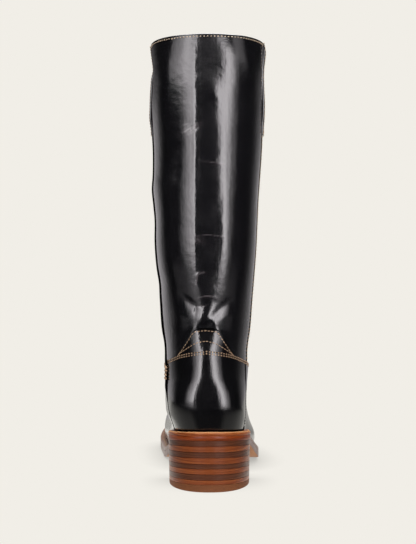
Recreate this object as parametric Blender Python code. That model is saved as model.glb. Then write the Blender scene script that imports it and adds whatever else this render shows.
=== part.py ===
"""Tall pull-on boot for the right foot, built piece by piece on the shape of its last.

The tables and functions work in millimetres, and meshes become metres as they are made.
Along runs from the back of the heel to the toe, x towards the outer (lateral) side, z up.
The toe points to +Y, and the origin is on the floor, at the middle of the sole's length.
"""

import bmesh
import bpy
import numpy as np

# Driving dimensions
BOOT_HEIGHT = 411.6  # floor to collar
SOLE_LENGTH = 272.0  # back of the heel to the tip of the toe, along the floor
BALL_HALF_WIDTH = 53.3  # outsole, from its axis to the outer ball
SEAT_HALF_WIDTH = 38.8  # outsole at the heel seat
SEAT_HEIGHT = 54.2  # floor to the top of the welt at the back
SEAT_SLOPE = 0.123  # fall of the heel seat towards the toe
TOE_SPRING = 18.0  # lift of the outsole's underside at the tip of the toe
COLLAR_HALF_WIDTH = 53.2
COLLAR_DEPTH = 124.0  # back to front, inside the pull straps

# Materials' thicknesses
GAP = 0.3  # between pieces that touch
EDGE_GAP = 0.5  # between facets of the sole's curved layers and of the upper's edge
PANEL_GAP = 0.65  # between facets of the upper and of a panel laid on it
WALL = 2.0  # upper, leather and lining
OVERLAY = 1.4  # vamp, counter and yoke leather
STRAP = 1.5
PIPING_RISE = 1.2
PIPING_WIDTH = 2.6
WELT_THICKNESS = (3.6, 4.6)  # at the heel, at the ball
OUTSOLE_THICKNESS = (4.5, 6.4)  # at the heel, at the ball
FOOTBED_RISE = 3.0  # top of the insole above the welt

# Places along the sole
BREAST = 73.0  # front of the heel, at its top
FLAT_START = 183.0  # flat tread under the ball, on the foot's axis
FLAT_END = 208.0
BALL_SLANT = 0.004  # how much higher the arch ends on the inner side, for each millimetre across
HEEL_ROUND = 55.0  # length of the round back of the heel
TOE_ROUND = 49.0  # length of the round toe
TOE_SWING = -17.0  # sideways place of the toe's tip, towards the inner side
SWING_START = 110.0
LEDGE = 7.5  # welt standing out beyond the upper
WIDEST_RISE = (16.0, 6.0)  # height over the welt at which the foot is widest, inner and outer side
ARCH_OVERHANG = 7.5  # bulge of the inner side over the narrow waist
ARCH_MIDDLE = 90.0
ARCH_LENGTH = 40.0
OUTER_TUCK = 0.6  # hollow of the outer side under the instep
TUCK_MIDDLE = 122.0
TUCK_LENGTH = 36.0
BULGE_LOW = 0.45  # below 1 the bulge and the hollow sit lower on the foot
ANKLE_END = 112.0  # swell and lean change from the ankle's to the ball's from here
BALL_START = 165.0
VAMP_POWER = (2.1, 1.65)  # fullness of the foot's section, inner and outer side
TOE_BOX_ROUND = 38.0  # length over which the toe box rounds down
ROUND_POWER = 2.25  # squareness of the sole's round ends

# Heel
HEEL_TAPER = 0.9  # how much narrower each side is at the floor
BREAST_UNDERCUT = 4.0
BREAST_HOLLOW = 2.5
TOP_LIFT_BACK = 6.8  # thickness of the wear piece at the back
TOP_LIFT_SLOPE = 0.066

# Panel lines, in shares of the way from the back (0) to the front (1) of a ring
COUNTER_EDGE_LOW = 0.204
COUNTER_EDGE_HIGH = 0.296
YOKE_HALF_LOW = 0.196
YOKE_HALF_HIGH = 0.076
YOKE_TOP = 146.8
STRAP_BOTTOM = 326.5
STRAP_HALF = 0.056
STRAP_FOLD = 2.0  # strap ends this far under the collar's edge

# Mesh density
UPPER_COLUMNS = 42
RING_STEPS = (2, 3, 3, 2, 2, 2, 2, 2, 4, 2, 2, 2, 1, 1, 1, 1)  # from each ring of the upper to the next
SOLE_STATIONS = 44


def table(names, *rows):
    """Rows of numbers as columns by name."""
    return {name: np.array(column, float) for name, column in zip(names.split(), zip(*rows))}


# Half widths of the outsole to the inner and outer side of its axis, before its ends are rounded
OUTLINE = table(
    "along  inner  outer",
    (0, SEAT_HALF_WIDTH, SEAT_HALF_WIDTH),
    (42, SEAT_HALF_WIDTH, SEAT_HALF_WIDTH),
    (74, 36.8, 38.8),
    (106, 34.2, 40.2),
    (132, 37.8, 46.6),
    (154, 42.0, 52.2),
    (173, 44.2, BALL_HALF_WIDTH),
    (194, 44.5, 52.5),
    (218, 44.4, 50.2),
    (242, 44.0, 47.0),
    (SOLE_LENGTH, 43.0, 44.0),
)

# Ridge of the foot over the welt, from the ankle's bend down to the toe
RIDGE = table(
    "along  rise",
    (100, 420.0),
    (118, 165.0),
    (139, 88.5),
    (155, 70.0),
    (177, 57.0),
    (201, 47.5),
    (226, 41.0),
    (247, 37.0),
    (SOLE_LENGTH, 33.0),
)

# Rings of the foot from the welt up: back of the ring and its rise there, where it crosses the ridge or reaches the
# toe, its rise at the toe, its swell over the welt line at the ankle and at the ball, its sideways lean, and how
# square its back is
FOOT_RINGS = table(
    "back  back_rise  front  toe_rise  swell  ball_swell  lean  power",
    (LEDGE, 0, SOLE_LENGTH - LEDGE, 0, 0.0, 0.0, 0.0, 2.8),
    (4.6, 16, SOLE_LENGTH - LEDGE + 1.4, 11, 1.9, 1.4, -1.0, 3.4),
    (4.2, 26, 258, 0, 2.7, 0.4, -1.6, 3.4),
    (4.4, 34, 247, 0, 3.4, 0.0, -1.8, 3.1),
    (5.0, 41, 226, 0, 4.4, 0.0, -1.9, 2.75),
    (5.9, 48, 201, 0, 5.4, 0.0, -2.0, 2.45),
    (7.0, 55, 177, 0, 6.4, 0.0, -2.1, 2.2),
    (8.1, 62, 155, 0, 7.3, 0.0, -2.3, 2.05),
    (9.2, 69, 139, 0, 8.2, 0.0, -2.5, 1.97),
)

# Level rings of the shaft: half width, sideways lean, back, depth and squareness
SHAFT_RINGS = table(
    "height  half_width  lean  back  depth  power",
    (142, 40.8, -2.6, 10.6, 112, 2.0),
    (170, 42.8, -2.6, 10.0, 110, 2.2),
    (217, 46.8, -3.1, 7.0, 111, 2.6),
    (265, 48.9, -3.1, 4.0, 114, 2.6),
    (312, 50.6, -1.6, 2.6, 118, 2.45),
    (350, 52.2, -2.0, 2.0, 121, 2.5),
    (388, 51.9, -1.4, 2.0, 123, 2.65),
    (BOOT_HEIGHT, COLLAR_HALF_WIDTH, -1.0, 2.0, COLLAR_DEPTH, 2.15),
)

# Height of the stitched seam that joins vamp and counter to the shaft, from back to front
ANKLE_SEAM = table(
    "share  height",
    (0.00, 124.5),
    (0.11, 122.5),
    (0.18, 120.0),
    (0.26, 115.5),
    (0.41, 107.5),
    (0.50, 103.0),
    (0.60, 97.0),
    (0.70, 96.0),
    (0.82, 107.0),
    (0.92, 124.0),
    (1.00, 133.0),
)

# Side seams of the shaft, as places along the foot: the shaft is turned a little on the foot
SIDE_SEAM = table(
    "height  inner  outer",
    (100, 57, 55),
    (142, 65, 60),
    (200, 65, 59),
    (280, 65, 56),
    (322, 67, 55),
    (BOOT_HEIGHT, 70, 57),
)

# Lifts of the stacked heel, from the outsole down
LIFTS = (
    ("dark", 4.9),
    ("light", 5.2),
    ("dark", 5.2),
    ("light", 5.6),
    ("dark", 4.4),
    ("light", 4.8),
    ("dark", 5.2),
    ("light", 4.0),
)

COLOURS = {
    "black_leather": ((0.012, 0.012, 0.013), 0.28),
    "lining_leather": ((0.30, 0.22, 0.15), 0.70),
    "sole_leather": ((0.30, 0.12, 0.05), 0.45),
    "welt_leather": ((0.42, 0.19, 0.08), 0.42),
    "dark_lift": ((0.10, 0.045, 0.026), 0.45),
    "light_lift": ((0.26, 0.085, 0.032), 0.42),
    "wear_piece": ((0.22, 0.11, 0.065), 0.60),
}


def smooth(at, knots, values):
    """Cubic curve through the values at the knots. With values of several columns, each has its own place in at."""
    knots, values, at = np.asarray(knots), np.asarray(values), np.asarray(at, float)
    step = np.diff(knots).reshape(-1, *[1] * (values.ndim - 1))
    rate = np.diff(values, axis=0) / step
    middle = (step[1:] * rate[:-1] + step[:-1] * rate[1:]) / (step[1:] + step[:-1])
    slope = np.concatenate([rate[:1], middle, rate[-1:]])
    k = np.clip(np.searchsorted(knots, at, side="right") - 1, 0, len(knots) - 2)
    low = k if values.ndim == 1 else (k, np.arange(k.size))
    high = k + 1 if values.ndim == 1 else (k + 1, np.arange(k.size))
    width = (knots[k + 1] - knots[k]).reshape(k.shape + (1,) * (values.ndim - 2 if values.ndim > 1 else 0))
    f = np.clip((at - knots[k]) / (knots[k + 1] - knots[k]), 0, 1).reshape(width.shape)
    return (
        values[low] * (1 + 2 * f) * (1 - f) ** 2
        + values[high] * f * f * (3 - 2 * f)
        + width * (slope[low] * f * (1 - f) ** 2 - slope[high] * f * f * (1 - f))
    )


def round_end(share, power=ROUND_POWER):
    """Half width of a round end, 0 at its tip and 1 where it is full."""
    return (1 - (1 - np.clip(share, 0, 1)) ** power) ** (1 / power)


def ease(share):
    share = np.clip(share, 0, 1)
    return share * share * (3 - 2 * share)


# Sole


def axis(along):
    """Sideways place of the foot's axis."""
    return TOE_SWING * np.clip((along - SWING_START) / (SOLE_LENGTH - SWING_START), 0, None) ** 2


def sole_half(along, side, inset=0.0):
    """Half width of the sole, taken in all round by an inset. Side is inner or outer."""
    full = smooth(along, OUTLINE["along"], OUTLINE[side]) - inset
    heel = round_end((along - inset) / HEEL_ROUND)
    toe = round_end((SOLE_LENGTH - inset - along) / TOE_ROUND)
    return full * heel * toe


def thickness(along, ends):
    """A layer's thickness, from the heel's value to the ball's."""
    return ends[0] + (ends[1] - ends[0]) * ease((along - BREAST) / (FLAT_START - BREAST))


def tread(along, x=0.0):
    """Height of the outsole's underside: heel seat, arch, flat ball and toe spring."""
    seat = SEAT_HEIGHT - WELT_THICKNESS[0] - OUTSOLE_THICKNESS[0]
    span = FLAT_START - BREAST
    f = np.clip((along - BREAST) / span, 0, 1)
    breast = seat - SEAT_SLOPE * BREAST
    arch = (breast * (2 * f + 1) - SEAT_SLOPE * span * f) * (1 - f) ** 2
    arch = arch * (1 - BALL_SLANT * x * ease(f) ** 2)
    spring = np.clip((along - FLAT_END) / (SOLE_LENGTH - FLAT_END), 0, 1)
    return np.where(along < BREAST, seat - SEAT_SLOPE * along, arch) + TOE_SPRING * spring**2


def outsole_top(along, x=0.0):
    return tread(along, x) + thickness(along, OUTSOLE_THICKNESS)


def welt_top(along, x=0.0):
    return outsole_top(along, x) + thickness(along, WELT_THICKNESS)


# Upper: a surface over u, once round from the back by the outer side, and v, from welt to collar


def ridge(along, swell):
    """Rise of the foot's ridge over the welt, rounded down at the toe."""
    tip = SOLE_LENGTH - LEDGE + swell
    return smooth(along, RIDGE["along"], RIDGE["rise"]) * round_end((tip - along) / TOE_BOX_ROUND, 2.4)


def bump(along, middle, length):
    return np.exp(-(((along - middle) / length) ** 2))


def foot_half(along, inner, row):
    """Half width of the foot over the welt, with the bulge and the hollow of its two sides low on the foot."""
    part = np.sin(np.pi * (row / (len(FOOT_RINGS["back"]) - 1)) ** BULGE_LOW)
    sole = [smooth(along, OUTLINE["along"], OUTLINE[side]) for side in ("inner", "outer")]
    bulge = sole[0] + part * ARCH_OVERHANG * bump(along, ARCH_MIDDLE, ARCH_LENGTH)
    hollow = sole[1] - part * OUTER_TUCK * bump(along, TUCK_MIDDLE, TUCK_LENGTH)
    return np.where(inner, bulge, hollow)


def ridge_vault(rise, along, swell, widest, power):
    """Half width left at a rise under the ridge, as a share."""
    return round_end(1 - np.clip(rise - widest, 0, None) / (ridge(along, swell) - widest), power)


def foot_ring(row, share, inner):
    """Ring from the back of the heel to the toe, or to a crossing of the foot's ridge."""
    back, back_rise, front, toe_rise, swell, ball_swell, lean, power = (FOOT_RINGS[name][row] for name in FOOT_RINGS)
    along = back + (front - back) * share
    forward = ease((along - ANKLE_END) / (BALL_START - ANKLE_END))
    rise = back_rise + (ridge(front, ball_swell) + toe_rise - back_rise) * share
    full = foot_half(along, inner, row) + swell + (ball_swell - swell) * forward - LEDGE
    heel = round_end((along - back) / HEEL_ROUND, power)
    toe = round_end((SOLE_LENGTH - LEDGE + ball_swell - along) / TOE_ROUND)
    half = full * heel * toe
    if front < SOLE_LENGTH - LEDGE:
        sides = zip(WIDEST_RISE, VAMP_POWER)
        half *= np.where(inner, *[ridge_vault(rise, along, ball_swell, *side) for side in sides])
    x = axis(along) + lean * (1 - forward) + np.where(inner, -half, half)
    return np.stack([x, along, welt_top(along, x) + EDGE_GAP + rise], axis=-1)


def shaft_ring(row, share, inner):
    """Level oval of the shaft."""
    height, half, lean, back, depth, power = (SHAFT_RINGS[name][row] for name in SHAFT_RINGS)
    oval = half * round_end(1 - np.abs(2 * share - 1), power)
    return np.stack([lean + np.where(inner, -oval, oval), back + depth * share, np.full_like(share, height)], axis=-1)


def key_rings(u):
    """Every ring of the upper at the places u, bottom first."""
    u = np.mod(u, 1.0)
    inner = u > 0.5
    share = (1 - np.cos(2 * np.pi * u)) / 2
    rings = [foot_ring(row, share, inner) for row in range(len(FOOT_RINGS["back"]))]
    rings += [shaft_ring(row, share, inner) for row in range(len(SHAFT_RINGS["height"]))]
    return np.array(rings)


def ring_levels():
    """v of each key ring: its share of the mean way up from welt to collar."""
    rings = key_rings(np.arange(0, 1, 1 / 16))
    steps = np.linalg.norm(np.diff(rings, axis=0), axis=-1).mean(axis=1)
    return np.concatenate([[0], np.cumsum(steps)]) / steps.sum()


LEVELS = ring_levels()
SPAN = 440.0  # rough way from welt to collar, for steps in v of about a millimetre
NUDGE = 0.5 / SPAN


def skin(u, v, out=0.0):
    """Points of the upper's outside at u and v, moved out along its normals."""
    u, v = np.broadcast_arrays(np.asarray(u, float), np.asarray(v, float))
    flat_u, flat_v = u.ravel(), v.ravel()

    def at(du, dv):
        return smooth(np.clip(flat_v + dv, 0, 1), LEVELS, key_rings(flat_u + du))

    points = at(0, 0)
    if np.any(out):
        normal = np.cross(at(NUDGE, 0) - at(-NUDGE, 0), at(0, NUDGE) - at(0, -NUDGE))
        normal /= np.linalg.norm(normal, axis=-1, keepdims=True)
        points = points + normal * np.broadcast_to(out, u.shape).reshape(-1, 1)
    return points.reshape(u.shape + (3,))


def level_at(u, height):
    """v at which the upper reaches a height, at each u."""
    low, high = np.zeros_like(u), np.ones_like(u)
    for _ in range(30):
        middle = (low + high) / 2
        under = skin(u, middle)[..., 2] < height
        low, high = np.where(under, middle, low), np.where(under, high, middle)
    return (low + high) / 2


def share_of(u):
    """Way from the back (0) to the front (1) of a ring."""
    return 1 - np.abs(1 - 2 * np.mod(u, 1.0))


def ankle_seam_level(u):
    return level_at(u, smooth(share_of(u), ANKLE_SEAM["share"], ANKLE_SEAM["height"]))


# Meshes


def material(name):
    made = bpy.data.materials.get(name)
    if made is None:
        colour, roughness = COLOURS[name]
        made = bpy.data.materials.new(name)
        made.use_nodes = True
        shader = made.node_tree.nodes["Principled BSDF"]
        shader.inputs["Base Color"].default_value = (*colour, 1)
        shader.inputs["Roughness"].default_value = roughness
        shader.inputs["Metallic"].default_value = 0.0
    return made


def add_piece(name, points, faces, finish):
    """Makes one closed piece from points in millimetres. Corners that fall together are joined."""
    places = np.asarray(points, float).reshape(-1, 3) - (0, SOLE_LENGTH / 2, 0)
    mesh = bpy.data.meshes.new(name)
    mesh.from_pydata((places / 1000).tolist(), [], [list(face) for face in faces])
    shape = bmesh.new()
    shape.from_mesh(mesh)
    bmesh.ops.remove_doubles(shape, verts=shape.verts, dist=1e-6)
    bmesh.ops.recalc_face_normals(shape, faces=shape.faces)
    shape.to_mesh(mesh)
    shape.free()
    mesh.materials.append(material(finish))
    mesh.shade_smooth()
    mesh.set_sharp_from_angle(angle=np.radians(35))
    piece = bpy.data.objects.new(name, mesh)
    bpy.context.scene.collection.objects.link(piece)
    piece.parent = bpy.data.objects["boot"]
    return piece


def grid_faces(rows, columns, start=0, wrap=False):
    """Quads of a grid of points, row by row, closed round if wrap is set."""
    last = columns if wrap else columns - 1
    return [
        (
            start + i * columns + j,
            start + i * columns + (j + 1) % columns,
            start + (i + 1) * columns + (j + 1) % columns,
            start + (i + 1) * columns + j,
        )
        for i in range(rows - 1)
        for j in range(last)
    ]


def shell(name, low, high, finish, wrap=False):
    """Closed piece between two grids of points of the same size, such as the two faces of a leather panel."""
    rows, columns = low.shape[:2]
    count = rows * columns
    faces = grid_faces(rows, columns, wrap=wrap) + grid_faces(rows, columns, count, wrap)
    edges = [[(i, j) for j in range(columns)] for i in (0, rows - 1)]
    if wrap:
        edges = [edge + edge[:1] for edge in edges]
    else:
        edges += [[(i, j) for i in range(rows)] for j in (0, columns - 1)]
    for edge in edges:
        at = [i * columns + j for i, j in edge]
        faces += [(a, b, b + count, a + count) for a, b in zip(at, at[1:])]
    return add_piece(name, np.concatenate([low.reshape(-1, 3), high.reshape(-1, 3)]), faces, finish)


def add_upper():
    """Hollow shaft and foot, open at the collar and underneath."""
    levels = [np.linspace(low, high, steps, endpoint=False) for low, high, steps in zip(LEVELS, LEVELS[1:], RING_STEPS)]
    v = np.append(np.concatenate(levels), 1.0)[:, None]
    u = np.arange(UPPER_COLUMNS)[None, :] / UPPER_COLUMNS
    inside = skin(u, v, -WALL)
    floor = welt_top(inside[..., 1], inside[..., 0]) + EDGE_GAP
    inside[..., 2] = np.clip(inside[..., 2], floor, BOOT_HEIGHT)
    inside[0, :, 2] = floor[0]
    inside[-1, :, 2] = BOOT_HEIGHT
    return shell("upper", skin(u, v), inside, "black_leather", wrap=True)


def panel(name, u, v, finish, rise=OVERLAY):
    """Leather laid on the upper over a grid of u and v."""
    low, high = skin(u, v, PANEL_GAP), skin(u, v, PANEL_GAP + rise)
    for face in (low, high):
        face[..., 2] = np.maximum(face[..., 2], welt_top(face[..., 1], face[..., 0]) + EDGE_GAP)
    return shell(name, low, high, finish)


def foot_panel(name, across, columns, rows):
    """Panel from the welt to the ankle seam. Across gives u from a column's share and a row's share."""
    column = np.linspace(0, 1, columns)[None, :]
    row = np.linspace(0, 1, rows)[:, None]
    u = across(column, row)
    hem = 0.6 / SPAN
    v = hem + (ankle_seam_level(u) - hem) * row**1.35
    return panel(name, u, v, "black_leather")


def counter_edge(row):
    return (COUNTER_EDGE_LOW + (COUNTER_EDGE_HIGH - COUNTER_EDGE_LOW) * row) / 2


def add_counter():
    return foot_panel("heel_counter", lambda c, r: counter_edge(r) * (2 * c - 1), 19, 10)


def add_vamp():
    seam_gap = 0.0016

    def across(column, row):
        edge = counter_edge(row) + seam_gap
        return edge + (1 - 2 * edge) * column

    return foot_panel("vamp", across, 33, 18)


def add_yoke():
    """Trapezoid patch above the counter."""
    column = np.linspace(-1, 1, 11)[None, :]
    row = np.linspace(0, 1, 5)[:, None]
    u = column * (YOKE_HALF_LOW + (YOKE_HALF_HIGH - YOKE_HALF_LOW) * row) / 2
    foot = ankle_seam_level(u) + 2 * GAP / SPAN
    return panel("back_yoke", u, foot + (level_at(u, np.full_like(u, YOKE_TOP)) - foot) * row, "black_leather")


def side_seam_u(side, height):
    """u of a side seam of the shaft, found between the back and the front."""
    target = smooth(height, SIDE_SEAM["height"], SIDE_SEAM[side])
    low, high = np.zeros_like(height), np.full_like(height, 0.5)
    for _ in range(25):
        middle = (low + high) / 2
        u = 1 - middle if side == "inner" else middle
        behind = skin(u, level_at(u, height))[..., 1] < target
        low, high = np.where(behind, middle, low), np.where(behind, high, middle)
    return u


def add_piping(side):
    """Raised piping from the ankle seam up to the pull strap."""
    height = np.linspace(110.0, STRAP_BOTTOM - 2.0, 19)
    middle = side_seam_u(side, height)
    half = PIPING_WIDTH / 2 / 300.0
    u = middle[:, None] + half * np.array([-1.0, -0.5, 0.5, 1.0])[None, :]
    v = level_at(middle, height)[:, None] + np.zeros_like(u)
    crown = PANEL_GAP + PIPING_RISE * np.array([0.4, 1.0, 1.0, 0.4])[None, :]
    return shell(f"side_seam_{side}", skin(u, v, PANEL_GAP), skin(u, v, crown), "black_leather")


def add_strap(side):
    """Flat pull strap over the top of a side seam."""
    height = np.linspace(STRAP_BOTTOM, BOOT_HEIGHT - STRAP_FOLD, 8)
    middle = side_seam_u(side, height)
    u = middle[:, None] + STRAP_HALF / 2 * np.linspace(-1, 1, 5)[None, :]
    v = level_at(middle, height)[:, None] + np.zeros_like(u)
    return panel(f"pull_strap_{side}", u, v, "black_leather", STRAP)


def ladder(along, inset):
    """Inner and outer edge of the sole at each place along it."""
    return axis(along) - sole_half(along, "inner", inset), axis(along) + sole_half(along, "outer", inset)


def stations(start, end, count=SOLE_STATIONS):
    """Places along the sole, closer together at its round ends, with the flat tread's ends among them."""
    places = start + (end - start) * (1 - np.cos(np.pi * np.arange(count + 1) / count)) / 2
    for mark in (BREAST, FLAT_START, FLAT_END):
        places[np.argmin(np.abs(places - mark))] = mark
    return places


def slab(name, along, inset, low, high, finish):
    """Layer of the sole between two heights, given as functions of the place along and across."""
    edges = [np.stack([x, along, z(along, x)], axis=-1) for z in (low, high) for x in ladder(along, inset)]
    count = len(along)
    sides = ((0, 1), (1, 3), (3, 2), (2, 0))
    faces = [
        (a * count + i, b * count + i, b * count + i + 1, a * count + i + 1)
        for a, b in sides
        for i in range(count - 1)
    ]
    return add_piece(name, np.concatenate(edges), faces, finish)


def add_outsole():
    return slab("outsole", stations(0, SOLE_LENGTH), 0.0, tread, outsole_top, "sole_leather")


def add_insole():
    """Footbed that fills the upper and the welt from inside."""
    inset = LEDGE + WALL + 1.0

    def under(along, x):
        return outsole_top(along, x) + EDGE_GAP

    def footbed(along, x):
        return welt_top(along, x) + FOOTBED_RISE

    return slab("insole", stations(inset, SOLE_LENGTH - inset), inset, under, footbed, "lining_leather")


def add_welt():
    """Band round the whole foot, under the edge of the upper."""
    loops = []
    for inset in (0.0, LEDGE + WALL + 1.0 - GAP):
        along = stations(inset, SOLE_LENGTH - inset)
        inner, outer = ladder(along, inset)
        x = np.concatenate([outer, inner[-2:0:-1]])
        y = np.concatenate([along, along[-2:0:-1]])
        loops += [np.stack([x, y, z], axis=-1) for z in (outsole_top(y, x) + EDGE_GAP, welt_top(y, x))]
    outer_low, outer_high, inner_low, inner_high = loops
    ring = np.array([outer_low, outer_high, inner_high, inner_low, outer_low])
    columns = ring.shape[1]
    return add_piece("welt", ring, grid_faces(5, columns, wrap=True), "welt_leather")


def heel_loop(height_at_back, slope):
    """Outline of the heel on a plane that falls towards the toe."""
    corner = 11
    top = tread(0.0)
    turn = np.linspace(0, 1, corner + 1)

    def lean(along):
        return np.clip((height_at_back - slope * along) / top, 0, 1)

    breast = BREAST - BREAST_UNDERCUT * (1 - lean(BREAST)) - GAP
    along = breast * turn**2.2
    half = (SEAT_HALF_WIDTH - 0.4 - HEEL_TAPER * (1 - lean(along))) * round_end(along / HEEL_ROUND)
    across = np.linspace(1, -1, 7)[1:-1]
    front = breast - BREAST_HOLLOW * (1 - across**2)
    x = np.concatenate([half, half[-1] * across, -half[:0:-1]])
    y = np.concatenate([along, front, along[:0:-1]])
    return np.stack([x, y, height_at_back - slope * y], axis=-1)


def add_lift(name, low, high, finish):
    """One layer of the heel, between two planes given as a height at the back and a slope."""
    bottom, top = heel_loop(*low), heel_loop(*high)
    count = len(bottom)
    faces = [tuple(range(count)), tuple(range(count, 2 * count))]
    faces += [(i, (i + 1) % count, (i + 1) % count + count, i + count) for i in range(count)]
    return add_piece(name, np.concatenate([bottom, top]), faces, finish)


def add_heel():
    """Stack of lifts under the heel seat, on a wear piece that is flat on the floor."""
    top = tread(0.0)

    def slope(height):
        return TOP_LIFT_SLOPE + (SEAT_SLOPE - TOP_LIFT_SLOPE) * (height - TOP_LIFT_BACK) / (top - TOP_LIFT_BACK)

    for number, (shade, lift) in enumerate(LIFTS, start=1):
        high, low = top - GAP, top - lift
        add_lift(f"heel_lift_{number}", (low, slope(low)), (high, slope(high)), f"{shade}_lift")
        top = low
    high = TOP_LIFT_BACK - GAP
    add_lift("top_lift", (0.0, 0.0), (high, TOP_LIFT_SLOPE), "wear_piece")


def clear_scene():
    for thing in list(bpy.data.objects):
        bpy.data.objects.remove(thing, do_unlink=True)


def main():
    clear_scene()
    frame = bpy.data.objects.new("boot", None)
    bpy.context.scene.collection.objects.link(frame)
    add_upper()
    add_vamp()
    add_counter()
    add_yoke()
    for side in ("inner", "outer"):
        add_piping(side)
        add_strap(side)
    add_insole()
    add_welt()
    add_outsole()
    add_heel()


main()
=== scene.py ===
import math

import bmesh
import bpy
import numpy as np
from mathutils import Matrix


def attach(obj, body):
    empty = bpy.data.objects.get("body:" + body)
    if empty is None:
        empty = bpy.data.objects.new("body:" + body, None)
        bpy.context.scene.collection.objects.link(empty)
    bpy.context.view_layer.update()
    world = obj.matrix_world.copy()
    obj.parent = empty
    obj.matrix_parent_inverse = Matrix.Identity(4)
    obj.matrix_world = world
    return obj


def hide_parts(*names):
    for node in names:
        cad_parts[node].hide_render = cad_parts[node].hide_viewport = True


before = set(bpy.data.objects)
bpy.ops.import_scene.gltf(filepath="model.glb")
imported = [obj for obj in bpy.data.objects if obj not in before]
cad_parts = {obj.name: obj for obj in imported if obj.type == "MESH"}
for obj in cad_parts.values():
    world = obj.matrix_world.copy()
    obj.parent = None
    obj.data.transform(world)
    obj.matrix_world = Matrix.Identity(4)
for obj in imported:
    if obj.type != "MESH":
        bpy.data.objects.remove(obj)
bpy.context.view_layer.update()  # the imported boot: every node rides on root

print("frame loaded with", len(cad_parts), "nodes")


# Small tools

def table(names, *rows):
    return {name: np.array(column, float) for name, column in zip(names.split(), zip(*rows))}


def ease(share):
    share = np.clip(share, 0, 1)
    return share * share * (3 - 2 * share)


def roundEnd(share, power=2.25):  # half width of a round end, 0 at its tip and 1 where it is full
    return (1 - (1 - np.clip(share, 0, 1)) ** power) ** (1 / power)


def hump(at, middle, length):
    return np.exp(-(((at - middle) / length) ** 2))


def slopes(knots, values):
    step = np.diff(knots).reshape((-1,) + (1,) * (values.ndim - 1))
    rate = np.diff(values, axis=0) / step
    middle = (step[1:] * rate[:-1] + step[:-1] * rate[1:]) / (step[1:] + step[:-1])
    return np.concatenate([rate[:1], middle, rate[-1:]])


def between(f, width, low, high, lowSlope, highSlope):  # cubic from one knot to the next
    ends = low * (1 + 2 * f) * (1 - f) ** 2 + high * f * f * (3 - 2 * f)
    return ends + width * (lowSlope * f * (1 - f) ** 2 - highSlope * f * f * (1 - f))


def smooth(at, knots, values):
    at = np.asarray(at, float)
    slope = slopes(knots, values)
    k = np.clip(np.searchsorted(knots, at, side="right") - 1, 0, len(knots) - 2)
    width = knots[k + 1] - knots[k]
    f = np.clip((at - knots[k]) / width, 0, 1)
    return between(f, width, values[k], values[k + 1], slope[k], slope[k + 1])


# The last that the boot is built on, in millimetres: along runs from the heel's back to the toe,
# x to the outer side of this right boot, z up from the floor

last = {
    "bootHeight": 411.6,
    "soleLength": 272.0,
    "seatHalfWidth": 38.8,
    "seatHeight": 54.2,  # floor to the welt's top at the back
    "seatSlope": 0.123,
    "toeSpring": 18.0,
    "weltThickness": (3.6, 4.6),  # at the heel, at the ball
    "outsoleThickness": (4.5, 6.4),
    "breast": 73.0,  # front of the heel
    "flatStart": 183.0,
    "flatEnd": 208.0,
    "ballSlant": 0.004,
    "heelRound": 55.0,
    "toeRound": 49.0,
    "toeSwing": -17.0,
    "swingStart": 110.0,
    "ledge": 7.5,  # welt standing out beyond the upper
    "widestRise": (16.0, 6.0),  # inner side, outer side
    "vampPower": (2.1, 1.65),
    "archOverhang": (7.5, 90.0, 40.0),  # bulge, its middle and its length
    "outerTuck": (0.6, 122.0, 36.0),
    "bulgeLow": 0.45,  # below 1 the bulge and the tuck sit lower on the foot
    "ankleEnd": 112.0,
    "ballStart": 165.0,
    "toeBoxRound": 38.0,
    "toeBoxPower": 2.4,
    "edgeGap": 0.5,
    "wall": 2.0,
}

outline = table(
    "along  inner  outer",
    (0, 38.8, 38.8),
    (42, 38.8, 38.8),
    (74, 36.8, 38.8),
    (106, 34.2, 40.2),
    (132, 37.8, 46.6),
    (154, 42.0, 52.2),
    (173, 44.2, 53.3),
    (194, 44.5, 52.5),
    (218, 44.4, 50.2),
    (242, 44.0, 47.0),
    (272, 43.0, 44.0),
)

ridgeLine = table(
    "along  rise",
    (100, 420.0),
    (118, 165.0),
    (139, 88.5),
    (155, 70.0),
    (177, 57.0),
    (201, 47.5),
    (226, 41.0),
    (247, 37.0),
    (272, 33.0),
)

footRings = table(  # power: how square the ring's back is, broad at the seat and narrow at the ankle
    "back  backRise  front  toeRise  swell  ballSwell  lean  power",
    (7.5, 0, 264.5, 0, 0.0, 0.0, 0.0, 2.8),
    (4.6, 16, 265.9, 11, 1.9, 1.4, -1.0, 3.4),
    (4.2, 26, 258, 0, 2.7, 0.4, -1.6, 3.4),
    (4.8, 34, 247, 0, 3.4, 0.0, -1.8, 3.1),
    (5.6, 41, 226, 0, 4.4, 0.0, -1.9, 2.62),
    (6.4, 48, 201, 0, 5.4, 0.0, -2.0, 2.2),
    (7.3, 55, 177, 0, 6.4, 0.0, -2.1, 2.05),
    (8.2, 62, 155, 0, 7.3, 0.0, -2.3, 2.0),
    (9.2, 69, 139, 0, 8.2, 0.0, -2.5, 1.97),
)

shaftRings = table(
    "height  halfWidth  lean  back  depth  power",
    (142, 40.8, -2.6, 10.6, 112, 2.0),
    (170, 42.8, -2.6, 10.0, 110, 2.2),
    (217, 46.8, -3.1, 7.0, 111, 2.6),
    (265, 48.9, -3.1, 4.0, 114, 2.6),
    (312, 50.6, -1.6, 2.6, 118, 2.45),
    (350, 52.2, -2.0, 2.0, 121, 2.5),
    (388, 51.9, -1.4, 2.0, 123, 2.65),
    (411.6, 53.8, -1.6, 2.0, 124, 2.15),
)

ankleSeam = table(  # height of the seam that joins vamp and counter to the shaft, from back to front
    "share  height",
    (0.00, 124.5),
    (0.11, 122.5),
    (0.18, 120.0),
    (0.26, 115.5),
    (0.41, 107.5),
    (0.50, 103.0),
    (0.60, 97.0),
    (0.70, 96.0),
    (0.82, 107.0),
    (0.92, 124.0),
    (1.00, 133.0),
)

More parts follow.
